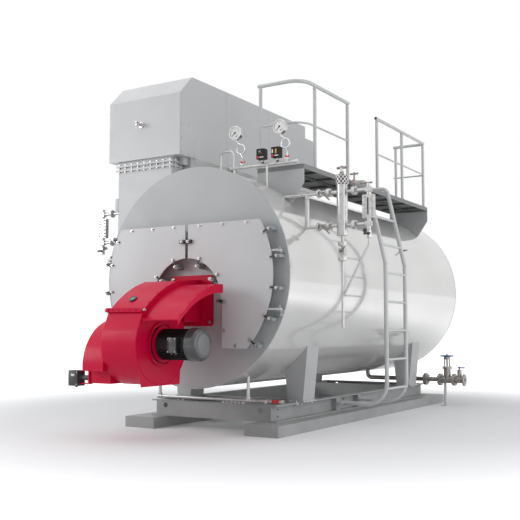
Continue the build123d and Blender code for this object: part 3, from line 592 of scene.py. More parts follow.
casing_crown = circle_through((-0.400, 1.532), (-0.712, 1.400), (-0.945, 1.215))
hood_crown = circle_through((-0.330, 1.490), (-0.600, 1.404), (-0.960, 1.139))
casing_left_x = -0.300
seam_y = -0.967
seam_z = 1.234
crown_xs = (-0.286, 0.101)
crown_ys = (-0.43, -0.57, -0.71, -0.84, -0.925)
hood_xs = (0.129, 0.526)
hood_ys = (-0.36, -0.50, -0.64, -0.78, -0.92)
seam_xs = (-0.235, -0.160, -0.092, -0.025, 0.050)
side_screws = ((-0.10, 1.50), (-0.30, 1.50), (-0.10, 1.18), (-0.245, 1.18))
screws = [on_crown(casing_crown, x, y) for x in crown_xs for y in crown_ys]
screws += [on_crown(hood_crown, x, y) for x in hood_xs for y in hood_ys]
screws += [(at(x, seam_y, seam_z), forward) for x in seam_xs]
screws += [(at(casing_left_x, y, z), leftward) for y, z in side_screws]
cover_screw = 0.012
bolts("burner_screws", screws, red_screws, cover_screw, stud=0.0, height=0.45)

flange_face_y = -0.025
eye_y = -0.953
fan_y = -0.655
fan_z = 0.912
fan_axis = at(0, fan_y, fan_z)
ring_face_x = 0.135
ring_bolt_r = 0.202
ring_bolt = 0.014
flange_nut = 0.024
flange_nut_x = 0.23
flange_nut_zs = (1.567, 1.127)
eye_left_x = -0.319
eye_right_x = 0.134
burner_nuts = [
    (at(side * flange_nut_x, flange_face_y, z), forward) for side in (-1, 1) for z in flange_nut_zs
]
burner_nuts += [(at(eye_left_x, eye_y, seam_z), leftward), (at(eye_right_x, eye_y, seam_z), rightward)]
bolts("burner_nuts", burner_nuts, zinc_bolts, flange_nut)
ring_bolts = [
    (at(ring_face_x, fan_y + y, fan_z + z), rightward) for y, z in around(8, ring_bolt_r, math.pi / 8)
]
bolts("motor_ring_bolts", ring_bolts, red_screws, ring_bolt, stud=0.1, height=0.5)

rim_r = 0.3835
rim_right_x = 0.115
rim_bead_r = 0.0045
rim_from = math.radians(-232)
rim_to = math.radians(10)
rim_steps = 60
hood_edge_y = -0.958
hood_bead_r = 0.004
hood_bead_xs = (0.117, 0.538)
beads = bmesh.new()
for x in (casing_left_x, rim_right_x):
    edge = []
    for step in range(rim_steps + 1):
        angle = rim_from + (rim_to - rim_from) * step / rim_steps
        edge.append(at(x, fan_y + rim_r * math.cos(angle), fan_z + rim_r * math.sin(angle)))
    pipe(beads, edge, rim_bead_r, 8)
pipe(beads, [on_crown(hood_crown, x, hood_edge_y)[0] for x in hood_bead_xs], hood_bead_r, 8)
finished("fan_rim_beads", beads, enamel, smooth=60)

sight_rim = plated(
    "sight_rim", (0.020, 0.020, 0.020), (0.035, 0.035, 0.035), 0.30, 150.0, 0.03, metallic=0.4,
)
sight_glass = sprayed(
    "sight_glass", (0.010, 0.130, 0.060), (0.020, 0.200, 0.090), 0.12,
    grain=40.0, peel_mm=0.03, coat=0.8,
)
sight_x = -0.120
sight_y = -0.802
sight_spot, sight_facing = on_crown(casing_crown, sight_x, sight_y)
rim_profile = [
    (0, 0.0), (0.040, 0.0), (0.040, 0.010), (0.036, 0.014), (0.027, 0.014), (0.027, 0.010), (0, 0.010),
]
rim = bmesh.new()
lathe(rim, rim_profile, sight_spot, sight_facing)
finished("sight_glass_rim", rim, sight_rim)
glass_profile = [(0, 0.0105), (0.0265, 0.0105), (0.020, 0.0135), (0, 0.0150)]
glass = bmesh.new()
lathe(glass, glass_profile, sight_spot, sight_facing)
finished("sight_glass", glass, sight_glass, smooth=60)


# Burner motor: a ribbed cast body in charcoal with a pressed steel fan cowl in grey, a
# mesh guard disc at its end and a terminal box on its side.
charcoal = sprayed(
    "charcoal_iron", (0.012, 0.012, 0.013), (0.020, 0.020, 0.022), 0.45,
    grain=220.0, peel_mm=0.09, shine=0.25,
)
dress(("burner_motor",), charcoal)
fin_count = 44
fin_ring_r = 0.141
fin_middle_x = 0.3225
fin_half = Vector((0.165, 0.007, 0.002))
terminal_span = math.radians(24)
fins = bmesh.new()
for step in range(fin_count):
    angle = 2 * math.pi * step / fin_count
    if abs(angle - math.pi) < terminal_span:
        continue
    middle = at(fin_middle_x, fan_y + fin_ring_r * math.cos(angle), fan_z + fin_ring_r * math.sin(angle))
    block(fins, middle - fin_half, middle + fin_half, 0.0, Matrix.Rotation(angle, 3, "X"))
finished("motor_fins", fins, charcoal)


def hoop(shape, inner, outer, low, high, centre, along, steps):
    """Adds a ring with a square section."""
    profile = [(inner, low), (outer, low), (outer, high), (inner, high), (inner, low)]
    lathe(shape, profile, centre, along, steps)
    bmesh.ops.remove_doubles(shape, verts=shape.verts, dist=0.00001)


foot_inner_r = 0.130
foot_r = 0.1758
foot_from_x = 0.1365
foot_to_x = 0.1458
foot_ring = bmesh.new()
hoop(foot_ring, foot_inner_r, foot_r, foot_from_x, foot_to_x, fan_axis, rightward, 56)
finished("motor_foot_ring", foot_ring, enamel)
cowl_paint = sprayed(
    "cowl_paint", (0.048, 0.050, 0.052), (0.062, 0.065, 0.067), 0.30,
    grain=200.0, peel_mm=0.045, coat=0.25,
)
cowl_edge_r = 0.039
cowl_edge_steps = 8
cowl_edge_x = 0.5668
cowl_flat_r = 0.1168
cowl_end_x = 0.6058
cowl_profile = [(0, 0.488), (0.1575, 0.488), (0.1575, 0.500), (0.1558, 0.501), (0.1558, 0.566)]
for step in range(1, cowl_edge_steps + 1):
    angle = math.pi / 2 * step / cowl_edge_steps
    edge_r = cowl_flat_r + cowl_edge_r * math.cos(angle)
    cowl_profile.append((edge_r, cowl_edge_x + cowl_edge_r * math.sin(angle)))
cowl_profile.append((0, cowl_end_x))
cowl = bmesh.new()
lathe(cowl, cowl_profile, fan_axis, rightward, 72)
finished("motor_cowl", cowl, cowl_paint, smooth=40)

guard_mesh, nodes, links, shader = node_set("guard_mesh")
wires_per_metre = 120.0
weave = node(nodes, "TexVoronoi", Scale=wires_per_metre, Randomness=0.0)
links.new(place_pattern(nodes, links).outputs["Vector"], weave.inputs["Vector"])
wire_tone = tone(
    nodes, links, weave.outputs["Distance"], (0.05, 0.05, 0.05), (0.15, 0.155, 0.155), 0.18, 0.34,
)
links.new(wire_tone, shader.inputs["Base Color"])
shader.inputs["Roughness"].default_value = 0.40
grille_profile = [(0, 0.604), (0.098, 0.604), (0.098, 0.6072), (0.096, 0.6078), (0, 0.6078)]
grille = bmesh.new()
lathe(grille, grille_profile, fan_axis, rightward, 56)
finished("motor_grille", grille, guard_mesh)


def rod(shape, start, end, radius, ease=0.0, steps=20):
    """Adds a round bar between two points, with its end edges eased."""
    run = Vector(end) - Vector(start)
    length = run.length
    profile = [(0, 0), (radius, 0), (radius, length), (0, length)]
    if ease > 0:
        profile[1:3] = [
            (radius - ease, 0), (radius, ease), (radius, length - ease), (radius - ease, length),
        ]
    lathe(shape, profile, start, run, steps)


def upright(shape, x, y, low, high, radius, ease=0.0, steps=20):
    """Adds a round bar that stands up."""
    rod(shape, at(x, y, low), at(x, y, high), radius, ease, steps)


def crossbar(shape, left, right, y, z, radius, ease=0.0, steps=20):
    """Adds a round bar that lies across the boiler."""
    rod(shape, at(left, y, z), at(right, y, z), radius, ease, steps)


def boss(shape, x, back, front, z, radius, ease=0.0):
    """Adds a round bar that points to the front."""
    rod(shape, at(x, back, z), at(x, front, z), radius, ease)


def corner_screws(low, high, inset_x, inset_z):
    """Four screws in the corners of a lid."""
    xs = (low.x + inset_x, high.x - inset_x)
    zs = (low.z + inset_z, high.z - inset_z)
    return [(Vector((x, low.y, z)), forward) for x in xs for z in zs]


lid_low = at(0.322, -0.842, 0.837)
lid_high = at(0.423, -0.834, 0.977)
lid_ease = 0.003
gland_xs = (0.350, 0.395)
gland_y = -0.800
gland_high = 0.842
gland_low = 0.822
gland_r = 0.013
lid = bmesh.new()
block(lid, lid_low, lid_high, lid_ease)
for x in gland_xs:
    upright(lid, x, gland_y, gland_high, gland_low, gland_r, 0.002)
finished("terminal_lid", lid, cowl_paint)
lid_screws = corner_screws(lid_low, lid_high, 0.010, 0.010)
bolts("terminal_screws", lid_screws, zinc_bolts, across=0.008, stud=0.0, height=0.4)


# Servo drive: a dark moulded box with a lid, a small window for its pointer, and a clamp
# round the damper shaft.
servo_shell = sprayed(
    "servo_shell", (0.030, 0.030, 0.034), (0.045, 0.045, 0.050), 0.46, grain=300.0, peel_mm=0.045,
)
dress(("burner_servo",), servo_shell)
servo_right_x = -0.684
servo_low = at(-0.802, -0.955, 0.512)
servo_high = at(servo_right_x, -0.949, 0.648)
shaft_y = -0.895
shaft_z = 0.585
clamp_width = 0.020
clamp_r = 0.034
servo_gland_x = -0.743
servo_gland_y = -0.900
servo_gland_high = 0.507
servo_gland_low = 0.490
servo_gland_r = 0.012
servo_lid = bmesh.new()
block(servo_lid, servo_low, servo_high, lid_ease)
upright(
    servo_lid, servo_gland_x, servo_gland_y, servo_gland_high, servo_gland_low, servo_gland_r, 0.002,
)
crossbar(servo_lid, servo_right_x, servo_right_x + clamp_width, shaft_y, shaft_z, clamp_r, 0.002)
finished("servo_lid", servo_lid, servo_shell)
servo_screws = corner_screws(servo_low, servo_high, 0.008, 0.009)
bolts("servo_screws", servo_screws, zinc_bolts, across=0.008, stud=0.0, height=0.4)
pale_mark = sprayed(
    "pale_mark", (0.62, 0.62, 0.60), (0.70, 0.70, 0.68), 0.40, grain=300.0, peel_mm=0.015,
)
window_low = at(-0.765, -0.957, 0.600)
window_high = at(-0.721, -0.954, 0.622)
window = bmesh.new()
block(window, window_low, window_high, 0.001)
finished("servo_window", window, pale_mark)


# Flue duct and economizer: folded sheet casings over insulation, in light satin grey. Studs
# at a close pitch draw the duct's two flange frames together, and lap strips cover the joints.
casing_paint = sprayed("casing_paint", (0.475, 0.484, 0.493), (0.505, 0.514, 0.523), 0.40)
dress(("flue_duct", "duct_neck", "economizer_casing", "economizer_tail"), casing_paint)
stud_pitch = 0.090
stud_low = 2.815
stud_high = 2.897
stud_r = 0.005
stud_nut_inset = 0.007
stud_places = [(-1.115 + stud_pitch * step, y) for step in range(9) for y in (0.099, 0.501)]
stud_places += [(x, 0.165 + stud_pitch * step) for step in range(4) for x in (-1.139, -0.371)]
stud_nuts = []
studs = bmesh.new()
for x, y in stud_places:
    upright(studs, x, y, stud_low, stud_high, stud_r, steps=10)
    stud_nuts.append((at(x, y, stud_high - stud_nut_inset), upward))
    stud_nuts.append((at(x, y, stud_low + stud_nut_inset), downward))
finished("flange_studs", studs, zinc)
bolts("flange_nuts", stud_nuts, zinc_bolts, across=0.015, stud=0.0)

side_x = -0.248
strip_face_x = -0.2445
hatch_face_x = -0.244
far_side_x = -1.242
far_face_x = -1.2455
top_z = 3.8285
top_face_z = 3.8298
casing_low_z = 2.934
casing_high_z = 3.828
strip_width = 0.050
joint_ys = (0.980, 1.940)
strip_ease = 0.001
duct_plate = (at(-1.172, 0.108, 2.364), at(-1.126, 0.118, 2.524))
neck_box = (at(-0.384, 0.220, 2.850), at(-0.300, 0.390, 2.932))
hatch = (at(side_x, 0.092, 2.945), at(hatch_face_x, 0.362, 3.284))
strips = bmesh.new()
block(strips, *duct_plate, strip_ease)
block(strips, *neck_box, 0.003)
block(strips, *hatch, strip_ease)
for y in joint_ys:
    rear = y + strip_width
    block(strips, at(side_x, y, casing_low_z), at(strip_face_x, rear, casing_high_z), strip_ease)
    block(strips, at(-1.240, y, top_z), at(-0.250, rear, top_face_z))
    block(strips, at(far_face_x, y, casing_low_z), at(far_side_x, rear, casing_high_z), strip_ease)
finished("lap_strips", strips, casing_paint)
screw_first_z = 3.0
screw_pitch = 0.2
screw_count = 5
hatch_screws = [(y, z) for y in (0.105, 0.227, 0.349) for z in (2.958, 3.115, 3.271)]
panel_screws = [(at(hatch_face_x, y, z), rightward) for y, z in hatch_screws]
for y in joint_ys:
    middle_y = y + strip_width / 2
    for step in range(screw_count):
        z = screw_first_z + screw_pitch * step
        panel_screws.append((at(strip_face_x, middle_y, z), rightward))
bolts("panel_screws", panel_screws, zinc_bolts, across=0.009, stud=0.0, height=0.4)

probe_x = -0.775
probe_y = 0.0752
probe_z = 3.315
probe_gap = 0.017
probe_profile = [(0, 0.0), (0.034, 0.0), (0.034, 0.008), (0.022, 0.010), (0.022, 0.030), (0, 0.030)]
probe = bmesh.new()
lathe(probe, probe_profile, at(probe_x, probe_y, probe_z), forward)
boss(probe, probe_x, 0.004, -0.022, probe_z - 0.015, 0.011, 0.003)
boss(probe, probe_x, 0.004, -0.026, probe_z + probe_gap, 0.009, 0.003)
finished("economizer_probe", probe, zinc)


# Base: rolled channels and box skids in matt grey, with the mottling of hot-rolled steel.
# Hexagon bolts hold the saddles and a row of small ones stands along the front channel.
frame_paint = sprayed(
    "frame_paint", (0.295, 0.298, 0.301), (0.345, 0.348, 0.351), 0.50,
    grain=60.0, peel_mm=0.135, cloudy=5.0,
)
dress(("base_frame", "skid_left", "skid_right"), frame_paint)
saddle_paint = sprayed(
    "saddle_paint", (0.400, 0.405, 0.410), (0.445, 0.450, 0.455), 0.45,
    grain=80.0, peel_mm=0.105, cloudy=3.0,
)
dress(("saddle_front", "saddle_rear", "economizer_posts"), saddle_paint)
frame_top_z = 0.285
flange_low_z = 0.272
flange_x = 0.780
web_x = 0.734
front_row_xs = (-0.47, -0.41, 0.12, 0.17, 0.22, 0.27, 0.32, 0.37)
foot_ys = (0.800, 1.140, 3.830, 4.170)
between_ys = (0.83, 0.90, 1.04, 1.11, 3.86, 3.93, 4.07, 4.14)
web_ys = (0.480, 2.000, 3.300, 4.420)
saddle_xs = (0.700, 0.772)
web_zs = (0.165, 0.235)
front_row_y = 0.385
base_bolts = [(at(x, front_row_y, frame_top_z), upward) for x in front_row_xs]
for side in (-1, 1):
    base_bolts += [(at(side * x, y, frame_top_z), upward) for y in foot_ys for x in saddle_xs]
    base_bolts += [(at(side * flange_x, y, flange_low_z), downward) for y in foot_ys + between_ys]
    base_bolts += [(at(side * web_x, y, z), (side, 0, 0)) for y in web_ys for z in web_zs]
bolts("base_bolts", base_bolts, zinc_bolts, across=0.015)


# Platform: a folded zinc-plated deck with raised tread bars, on bearers and two plates that
# stand on the drum.
deck_zinc = plated(
    "deck_zinc", (0.165, 0.168, 0.171), (0.195, 0.198, 0.201), 0.52, 40.0, 0.015, metallic=0.3,
)
dress(("platform_deck",), deck_zinc)
bracket_paint = sprayed("bracket_paint", (0.40, 0.405, 0.41), (0.45, 0.455, 0.46), 0.35)
dress(("platform_brackets",), bracket_paint)
tread_count = 103
tread_pitch = 0.035
tread_width = 0.006
tread_left_x = 0.436
tread_right_x = 0.992
tread_low_z = 2.7805
tread_high_z = 2.7855
tread_first_y = 0.595
treads = bmesh.new()
for step in range(tread_count):
    y = tread_first_y + tread_pitch * step
    block(treads, at(tread_left_x, y, tread_low_z), at(tread_right_x, y + tread_width, tread_high_z))
finished("tread_bars", treads, deck_zinc)
# The bearers under the deck are near black: painted shade for the shadow under the deck, not the grey of
# the brackets.
bearer_painted_shade = sprayed("bearer_painted_shade", (0.060, 0.060, 0.061), (0.085, 0.085, 0.087), 0.50)
bearer_count = 8
bearer_pitch = 0.430
bearer_width = 0.045
bearer_first_y = 0.900
bearer_left_x = 0.439
bearer_right_x = 0.989
bearer_low_z = 2.733
bearer_high_z = 2.757
runner_x = 0.700
runner_front_y = 0.582
runner_rear_y = 4.220
bearers = bmesh.new()
for step in range(bearer_count):
    y = bearer_first_y + bearer_pitch * step
    block(bearers, at(bearer_left_x, y, bearer_low_z), at(bearer_right_x, y + bearer_width, bearer_high_z))
runner_low = at(runner_x, runner_front_y, bearer_low_z + 0.002)
block(bearers, runner_low, at(runner_x + bearer_width, runner_rear_y, bearer_high_z - 0.002))
finished("deck_bearers", bearers, bearer_painted_shade)


# Guard rails and ladder: round tube, bent and welded, sprayed pale grey. Bolted feet hold
# the posts, and near-black discs at the cut ends of the tubes are painted shade for their bores.
rail_paint = sprayed(
    "rail_paint", (0.465, 0.475, 0.480), (0.520, 0.530, 0.535), 0.32, coat=0.1,
)
dress(("handrail_front", "handrail_rear", "ladder", "blowdown_post"), rail_paint)
# Near-black finish for the tube ends: painted shade that stands for the shadowed inside of the open tubes.
bore_painted_shade = sprayed("painted_bore_shade", (0.010, 0.010, 0.010), (0.018, 0.018, 0.018), 0.60)
rail_x = 0.973
rail_z = 3.693
rail_bore_r = 0.0165
first_post_y = 0.595
front_rail_end = (1.7128, 1.7138)
rear_rail_end = (2.507, 2.5062)
inner_rail_end = (0.427, 0.4262)
header_y = 0.300
header_z = 0.330
header_end = (0.910, 0.9108)
header_bore_r = 0.0110
bores = bmesh.new()
boss(bores, rail_x, *rear_rail_end, rail_z, rail_bore_r)
boss(bores, rail_x, *front_rail_end, rail_z, rail_bore_r)
crossbar(bores, *inner_rail_end, first_post_y, rail_z, rail_bore_r)
crossbar(bores, *header_end, header_y, header_z, header_bore_r)
finished("painted_bore_shades", bores, bore_painted_shade)
foot_z = 2.789
foot_bolt_gap = 0.014
foot_bolt_inset = 0.033
ladder_foot_x = 0.822
ladder_foot_z = 0.225
ladder_bolt_gap = 0.032
ladder_ys = (1.750, 2.330)
post_feet = [(0.455, first_post_y), (rail_x, 0.871), (rail_x, 1.685)]
post_feet += [(rail_x, 2.535), (rail_x, 3.360), (rail_x, 4.150), (0.540, 4.210)]
foot_bolts = []
for side in (-1, 1):
    foot_bolts += [
        (at(x - foot_bolt_inset, y + side * foot_bolt_gap, foot_z), upward) for x, y in post_feet
    ]
    foot_bolts += [
        (at(ladder_foot_x, y + side * ladder_bolt_gap, ladder_foot_z), upward) for y in ladder_ys
    ]
bolts("foot_bolts", foot_bolts, zinc_bolts, across=0.014, stud=0.3)


# Water column and its pipes: stainless tube with flanged isolating valves. A knurled band
# closes the head of the column, and T-handles stand on the valves. The band's wires share the
# bright plating of the dial cases, over a thin near-black skin that is painted shade for the
# grooves between them.
dial_case = plated("dial_case", (0.46, 0.45, 0.445), (0.54, 0.53, 0.525), 0.30, 200.0, 0.015)
stainless = plated(
    "stainless", (0.42, 0.415, 0.41), (0.50, 0.495, 0.49), 0.34, 140.0, 0.03, metallic=0.65,
)
water_pipes = ("water_column", "column_pipework", "level_gauge_right", "level_gauge_left")
small_pipes = ("column_drain", "gauge_manifold", "vent_loop", "drain_header")
dress(water_pipes + small_pipes, stainless)
gauge_y = 0.540
column_x = 1.452
gauge_x = 1.743
level_high = 2.437
level_low = 2.095
band_low = 2.508
band_high = 2.607
# A thin near-black skin over the band: painted shade that shows in the grooves between the knurl's wires.
groove_shade_inner_r = 0.0585
groove_shade_r = 0.0596
groove_shade = bmesh.new()
hoop(groove_shade, groove_shade_inner_r, groove_shade_r, band_low, band_high, at(column_x, gauge_y, 0), upward, 48)
finished("column_groove_shade", groove_shade, clamp_steel_and_groove_shade)
knurl_r = 0.061
knurl_starts = 10
knurl_steps = 12
knurl_turn = math.radians(72)
knurl_low = 2.511
knurl_rise = 0.094
knurl_wire_r = 0.0046
knurl = bmesh.new()
for hand in (-1, 1):
    for start in range(knurl_starts):
        thread = []
        for step in range(knurl_steps + 1):
            share = step / knurl_steps
            angle = 2 * math.pi * start / knurl_starts + hand * knurl_turn * share
            x = column_x + knurl_r * math.cos(angle)
            y = gauge_y + knurl_r * math.sin(angle)
            thread.append(at(x, y, knurl_low + knurl_rise * share))
        pipe(knurl, thread, knurl_wire_r, 6)
finished("column_knurl", knurl, dial_case, smooth=60)

brass_brown = plated(
    "valve_brass", (0.15, 0.130, 0.122), (0.24, 0.21, 0.20), 0.36, 120.0, 0.06, metallic=0.7,
)
cap_low = 2.612
cap_high = 2.640
head_high = 2.702
head_grip_z = 2.682
head_grip_half = 0.055
valve_x = 1.588
valve_low = 2.480
valve_high = 2.622
valve_grip_z = 2.606
valve_grip_half = 0.045
cock_x = 1.244
cock_lever = Vector((0.092, -0.008, -0.082))
plug_from_x = 1.655
plug_to_x = 1.785
plug_z = 2.502
test_cock = (1.020, 1.122)
test_cock_y = 3.100
test_cock_z = 2.070
test_grip_x = 1.112
handles = bmesh.new()
upright(handles, column_x, gauge_y, cap_low, cap_high, 0.026, 0.003, 6)
upright(handles, column_x, gauge_y, cap_high, head_high, 0.012, 0.002)
crossbar(handles, column_x - head_grip_half, column_x + head_grip_half, gauge_y, head_grip_z, 0.0135, 0.004)
upright(handles, valve_x, gauge_y, valve_low, valve_high, 0.009, 0.002)
upright(handles, valve_x, gauge_y, valve_low + 0.020, valve_low + 0.065, 0.023, 0.003, 6)
crossbar(handles, valve_x - valve_grip_half, valve_x + valve_grip_half, gauge_y, valve_grip_z, 0.010, 0.003)
crossbar(handles, plug_from_x, plug_to_x, gauge_y, plug_z, 0.009, 0.003)
for z in (level_high, level_low):
    boss(handles, cock_x, gauge_y - 0.024, gauge_y - 0.050, z, 0.014, 0.002)
    lever_root = at(cock_x, gauge_y - 0.044, z)
    rod(handles, lever_root, lever_root + cock_lever, 0.0075, 0.003)
crossbar(handles, *test_cock, test_cock_y, test_cock_z, 0.010, 0.002)
grip_low = at(test_grip_x, test_cock_y - 0.050, test_cock_z - 0.010)
rod(handles, grip_low, at(test_grip_x, test_cock_y + 0.050, test_cock_z + 0.010), 0.008, 0.003)
finished("valve_handles", handles, brass_brown)

quarter = math.pi / 4
level_flanges = ((1.182, 1.198), (1.290, 1.322), (1.572, 1.604))
level_nut_r = 0.033
tie_rod_r = 0.0042
tie_rod_over = 0.012
level_nuts = []
tie_rods = bmesh.new()
for level in (level_high, level_low):
    for left, right in level_flanges:
        for y, z in around(4, level_nut_r, quarter):
            y = gauge_y + y
            z = level + z
            crossbar(tie_rods, left - tie_rod_over, right + tie_rod_over, y, z, tie_rod_r, steps=8)
            level_nuts += [(at(left, y, z), leftward), (at(right, y, z), rightward)]
finished("level_tie_rods", tie_rods, zinc)
bolts("level_flange_nuts", level_nuts, zinc_bolts, across=0.014, stud=0.0)
drain_flange_half = 0.018
drain_flange_zs = (1.906, 1.756)
drain_nut_r = 0.034
drain_cock_z = 1.831
drain_grip = Vector((0.057, -0.008, 0.046))
drain_nuts = []
for z in drain_flange_zs:
    for x, y in around(4, drain_nut_r, quarter):
        flange = at(column_x + x, gauge_y + y, z)
        drain_nuts.append((flange + drain_flange_half * Vector(upward), upward))
        drain_nuts.append((flange + drain_flange_half * Vector(downward), downward))
bolts("drain_flange_nuts", drain_nuts, zinc_bolts, across=0.013, stud=0.2)
drain_handle = bmesh.new()
boss(drain_handle, column_x, gauge_y - 0.028, gauge_y - 0.056, drain_cock_z, 0.015, 0.002)
drain_lever = at(column_x - 0.005, gauge_y - 0.052, drain_cock_z - 0.005)
rod(drain_handle, drain_lever, drain_lever + drain_grip, 0.008, 0.003)
finished("drain_handle", drain_handle, brass_brown)


# Level gauges: forged bodies that clamp a dark green glass under two rows of nuts, with a
# drain cock below that has a black T-handle.
level_glass = sprayed(
    "level_glass", (0.030, 0.060, 0.055), (0.050, 0.100, 0.085), 0.10,
    grain=60.0, peel_mm=0.045, coat=0.6,
)
glass_half_width = 0.0085
glass_front_y = 0.5145
glass_back_y = 0.5219
glass_low = 2.182
glass_high = 2.350
glass_nut_y = 0.514
glass_nut_x = 0.038
glass_nut_pitch = 0.038
glass_nut_rows = 6
glass_middle_z = 2.266
cock_z = 1.992
cock_low = 1.952
cock_high = 2.034
cock_r = 0.024
grip_half = 0.036
grip_y = gauge_y - 0.052
knob_z = 2.028
drain_arm_z = 2.025
drain_arm = 0.060
knob_inset = 0.036
for side, hand in ((1, "right"), (-1, "left")):
    x = side * gauge_x
    glass = bmesh.new()
    glass_corner = at(x - glass_half_width, glass_front_y, glass_low)
    block(glass, glass_corner, at(x + glass_half_width, glass_back_y, glass_high))
    finished("level_glass_" + hand, glass, level_glass)
    glass_nuts = []
    for step in range(glass_nut_rows):
        z = glass_middle_z + glass_nut_pitch * (step - (glass_nut_rows - 1) / 2)
        glass_nuts += [(at(x + turn * glass_nut_x, glass_nut_y, z), forward) for turn in (-1, 1)]
    bolts("glass_nuts_" + hand, glass_nuts, zinc_bolts, across=0.017, stud=0.3)
    cock = bmesh.new()
    upright(cock, x, gauge_y, cock_low, cock_high, cock_r, 0.004, 6)
    crossbar(cock, side * (gauge_x - drain_arm), x, gauge_y, drain_arm_z, 0.017, 0.003)
    finished("gauge_cock_" + hand, cock, stainless)
    grip = bmesh.new()
    boss(grip, x, gauge_y - 0.022, gauge_y - 0.056, cock_z, 0.010, 0.002)
    crossbar(grip, x - grip_half, x + grip_half, grip_y, cock_z, 0.011, 0.004)
    boss(grip, side * (gauge_x - knob_inset), gauge_y - 0.018, gauge_y - 0.026, knob_z, 0.020, 0.002)
    finished("cock_grip_" + hand, grip, clamp_steel_and_groove_shade)


# Pressure dials: bright-plated cases with a white face, black strokes, plain numbers and a
# tapered needle on a round boss.
dress(("pressure_gauge_left", "pressure_gauge_right"), dial_case)
dial_white = sprayed(
    "dial_white", (0.70, 0.70, 0.69), (0.76, 0.76, 0.75), 0.45, grain=300.0, peel_mm=0.0075,
)
ink = sprayed(
    "dial_ink", (0.012, 0.012, 0.012), (0.020, 0.020, 0.020), 0.50, grain=300.0, peel_mm=0.0075,
)
dials = ((0.228, "left", 222), (0.783, "right", 226))
dial_z = 3.174
face_y = 0.4369
face_profile = [(0, 0), (0.0655, 0), (0.0655, 0.0012), (0, 0.0012)]
boss_profile = [(0, 0.001), (0.0105, 0.001), (0.0095, 0.0052), (0, 0.0056)]
stroke_count = 32
stroke_r = 0.060
long_stroke = 0.009
short_stroke = 0.005
stroke_y = face_y - 0.0015
number_y = face_y - 0.0014
needle_y = face_y - 0.0035
number_r = 0.041
number_size = 0.013
needle_half = 0.014
needle_parts = ((0.012, 0.0036), (0.032, 0.0020), (0.046, 0.0011))


def dial_angle(share):
    """The angle of a reading, from the lowest at the lower left to the highest."""
    return math.radians(225 - 270 * share)


def stroke(shape, centre, angle, reach, half):
    """A thin bar on the dial that points away from its middle."""
    middle = centre + Vector((math.cos(angle), 0, math.sin(angle))) * reach
    block(shape, middle - half, middle + half, 0.0, Matrix.Rotation(-angle, 3, "Y"))


def number_mesh(text, size):
    """Plain figures as a thin solid that faces forward."""
    curve = bpy.data.curves.new("figures", "FONT")
    curve.body = text
    curve.size = size
    curve.align_x = "CENTER"
    curve.align_y = "CENTER"
    curve.extrude = 0.0002
    holder = bpy.data.objects.new("figures", curve)
    bpy.context.scene.collection.objects.link(holder)
    shown = holder.evaluated_get(bpy.context.evaluated_depsgraph_get())
    mesh = bpy.data.meshes.new_from_object(shown)
    bpy.data.objects.remove(holder)
    bpy.data.curves.remove(curve)
    mesh.transform(Matrix.Rotation(math.pi / 2, 4, "X"))
    return mesh


for x, hand, needle_at in dials:
    face = bmesh.new()
    lathe(face, face_profile, at(x, face_y, dial_z), forward, 48)
    finished("dial_face_" + hand, face, dial_white)
    marks = bmesh.new()
    for step in range(stroke_count + 1):
        length = long_stroke if step % 4 == 0 else short_stroke
        half = Vector((length / 2, 0.0004, 0.0006))
        stroke_centre = at(x, stroke_y, dial_z)
        stroke(marks, stroke_centre, dial_angle(step / stroke_count), stroke_r - length / 2, half)
    for step in range(5):
        angle = dial_angle(step / 4)
        out = Vector((math.cos(angle), 0, math.sin(angle)))
        figures = number_mesh(str(4 * step), number_size)
        figures.transform(Matrix.Translation(at(x, number_y, dial_z) + out * number_r))
        marks.from_mesh(figures)
        bpy.data.meshes.remove(figures)
    tag_low = at(x + 0.010, face_y - 0.0018, dial_z - 0.046)
    block(marks, tag_low, at(x + 0.024, face_y - 0.0011, dial_z - 0.036))
    for reach, width in needle_parts:
        needle_centre = at(x, needle_y, dial_z)
        half = Vector((needle_half, 0.0006, width))
        stroke(marks, needle_centre, math.radians(needle_at), reach, half)
    lathe(marks, boss_profile, at(x, face_y, dial_z), forward, 24)
    finished("dial_marks_" + hand, marks, ink, smooth=30)


# Pressure switches: black moulded boxes over the manifold, with coloured lamps, a red
# button, a small display and pale bars where their settings stand. Red caps mark the dial
# cocks, and a red band the drain header.
switch_shell = sprayed(
    "switch_shell", (0.009, 0.009, 0.010), (0.014, 0.014, 0.015), 0.42,
    grain=260.0, peel_mm=0.045, shine=0.15,
)
dress(("pressure_switches",), switch_shell)


def signal(name, dark, light):
    """Glossy coloured plastic of a lamp or a cap."""
    return sprayed(name, dark, light, 0.30, grain=200.0, peel_mm=0.015, coat=0.4)


mark_front_y = 0.3985
mark_back_y = 0.4003


def switch_mark(shape, left, right, low, high):
    """A thin mark on the face of a switch."""
    block(shape, at(left, mark_front_y, low), at(right, mark_back_y, high))


signal_red = signal("signal_red", (0.55, 0.010, 0.012), (0.62, 0.015, 0.018))
signal_green = signal("signal_green", (0.010, 0.16, 0.06), (0.015, 0.22, 0.08))
signal_amber = signal("signal_amber", (0.62, 0.30, 0.010), (0.70, 0.36, 0.015))
button_xs = (0.543, 0.725)
button_z = 2.862
cock_caps = ((0.314, 2.841), (0.352, 2.841), (0.861, 2.845), (0.893, 2.845))
header_band = (0.775, 0.860)
header_band_r = 0.0178
red_marks = bmesh.new()
green_marks = bmesh.new()
amber_marks = bmesh.new()
pale_bars = bmesh.new()
for x in button_xs:
    boss(red_marks, x, 0.4005, 0.390, button_z, 0.0125, 0.002)
    switch_mark(pale_bars, x + 0.018, x + 0.066, 2.857, 2.867)
switch_mark(green_marks, 0.550, 0.566, 2.905, 2.922)
switch_mark(red_marks, 0.576, 0.586, 2.905, 2.915)
switch_mark(pale_bars, 0.546, 0.574, 2.926, 2.930)
switch_mark(amber_marks, 0.752, 0.768, 2.884, 2.932)
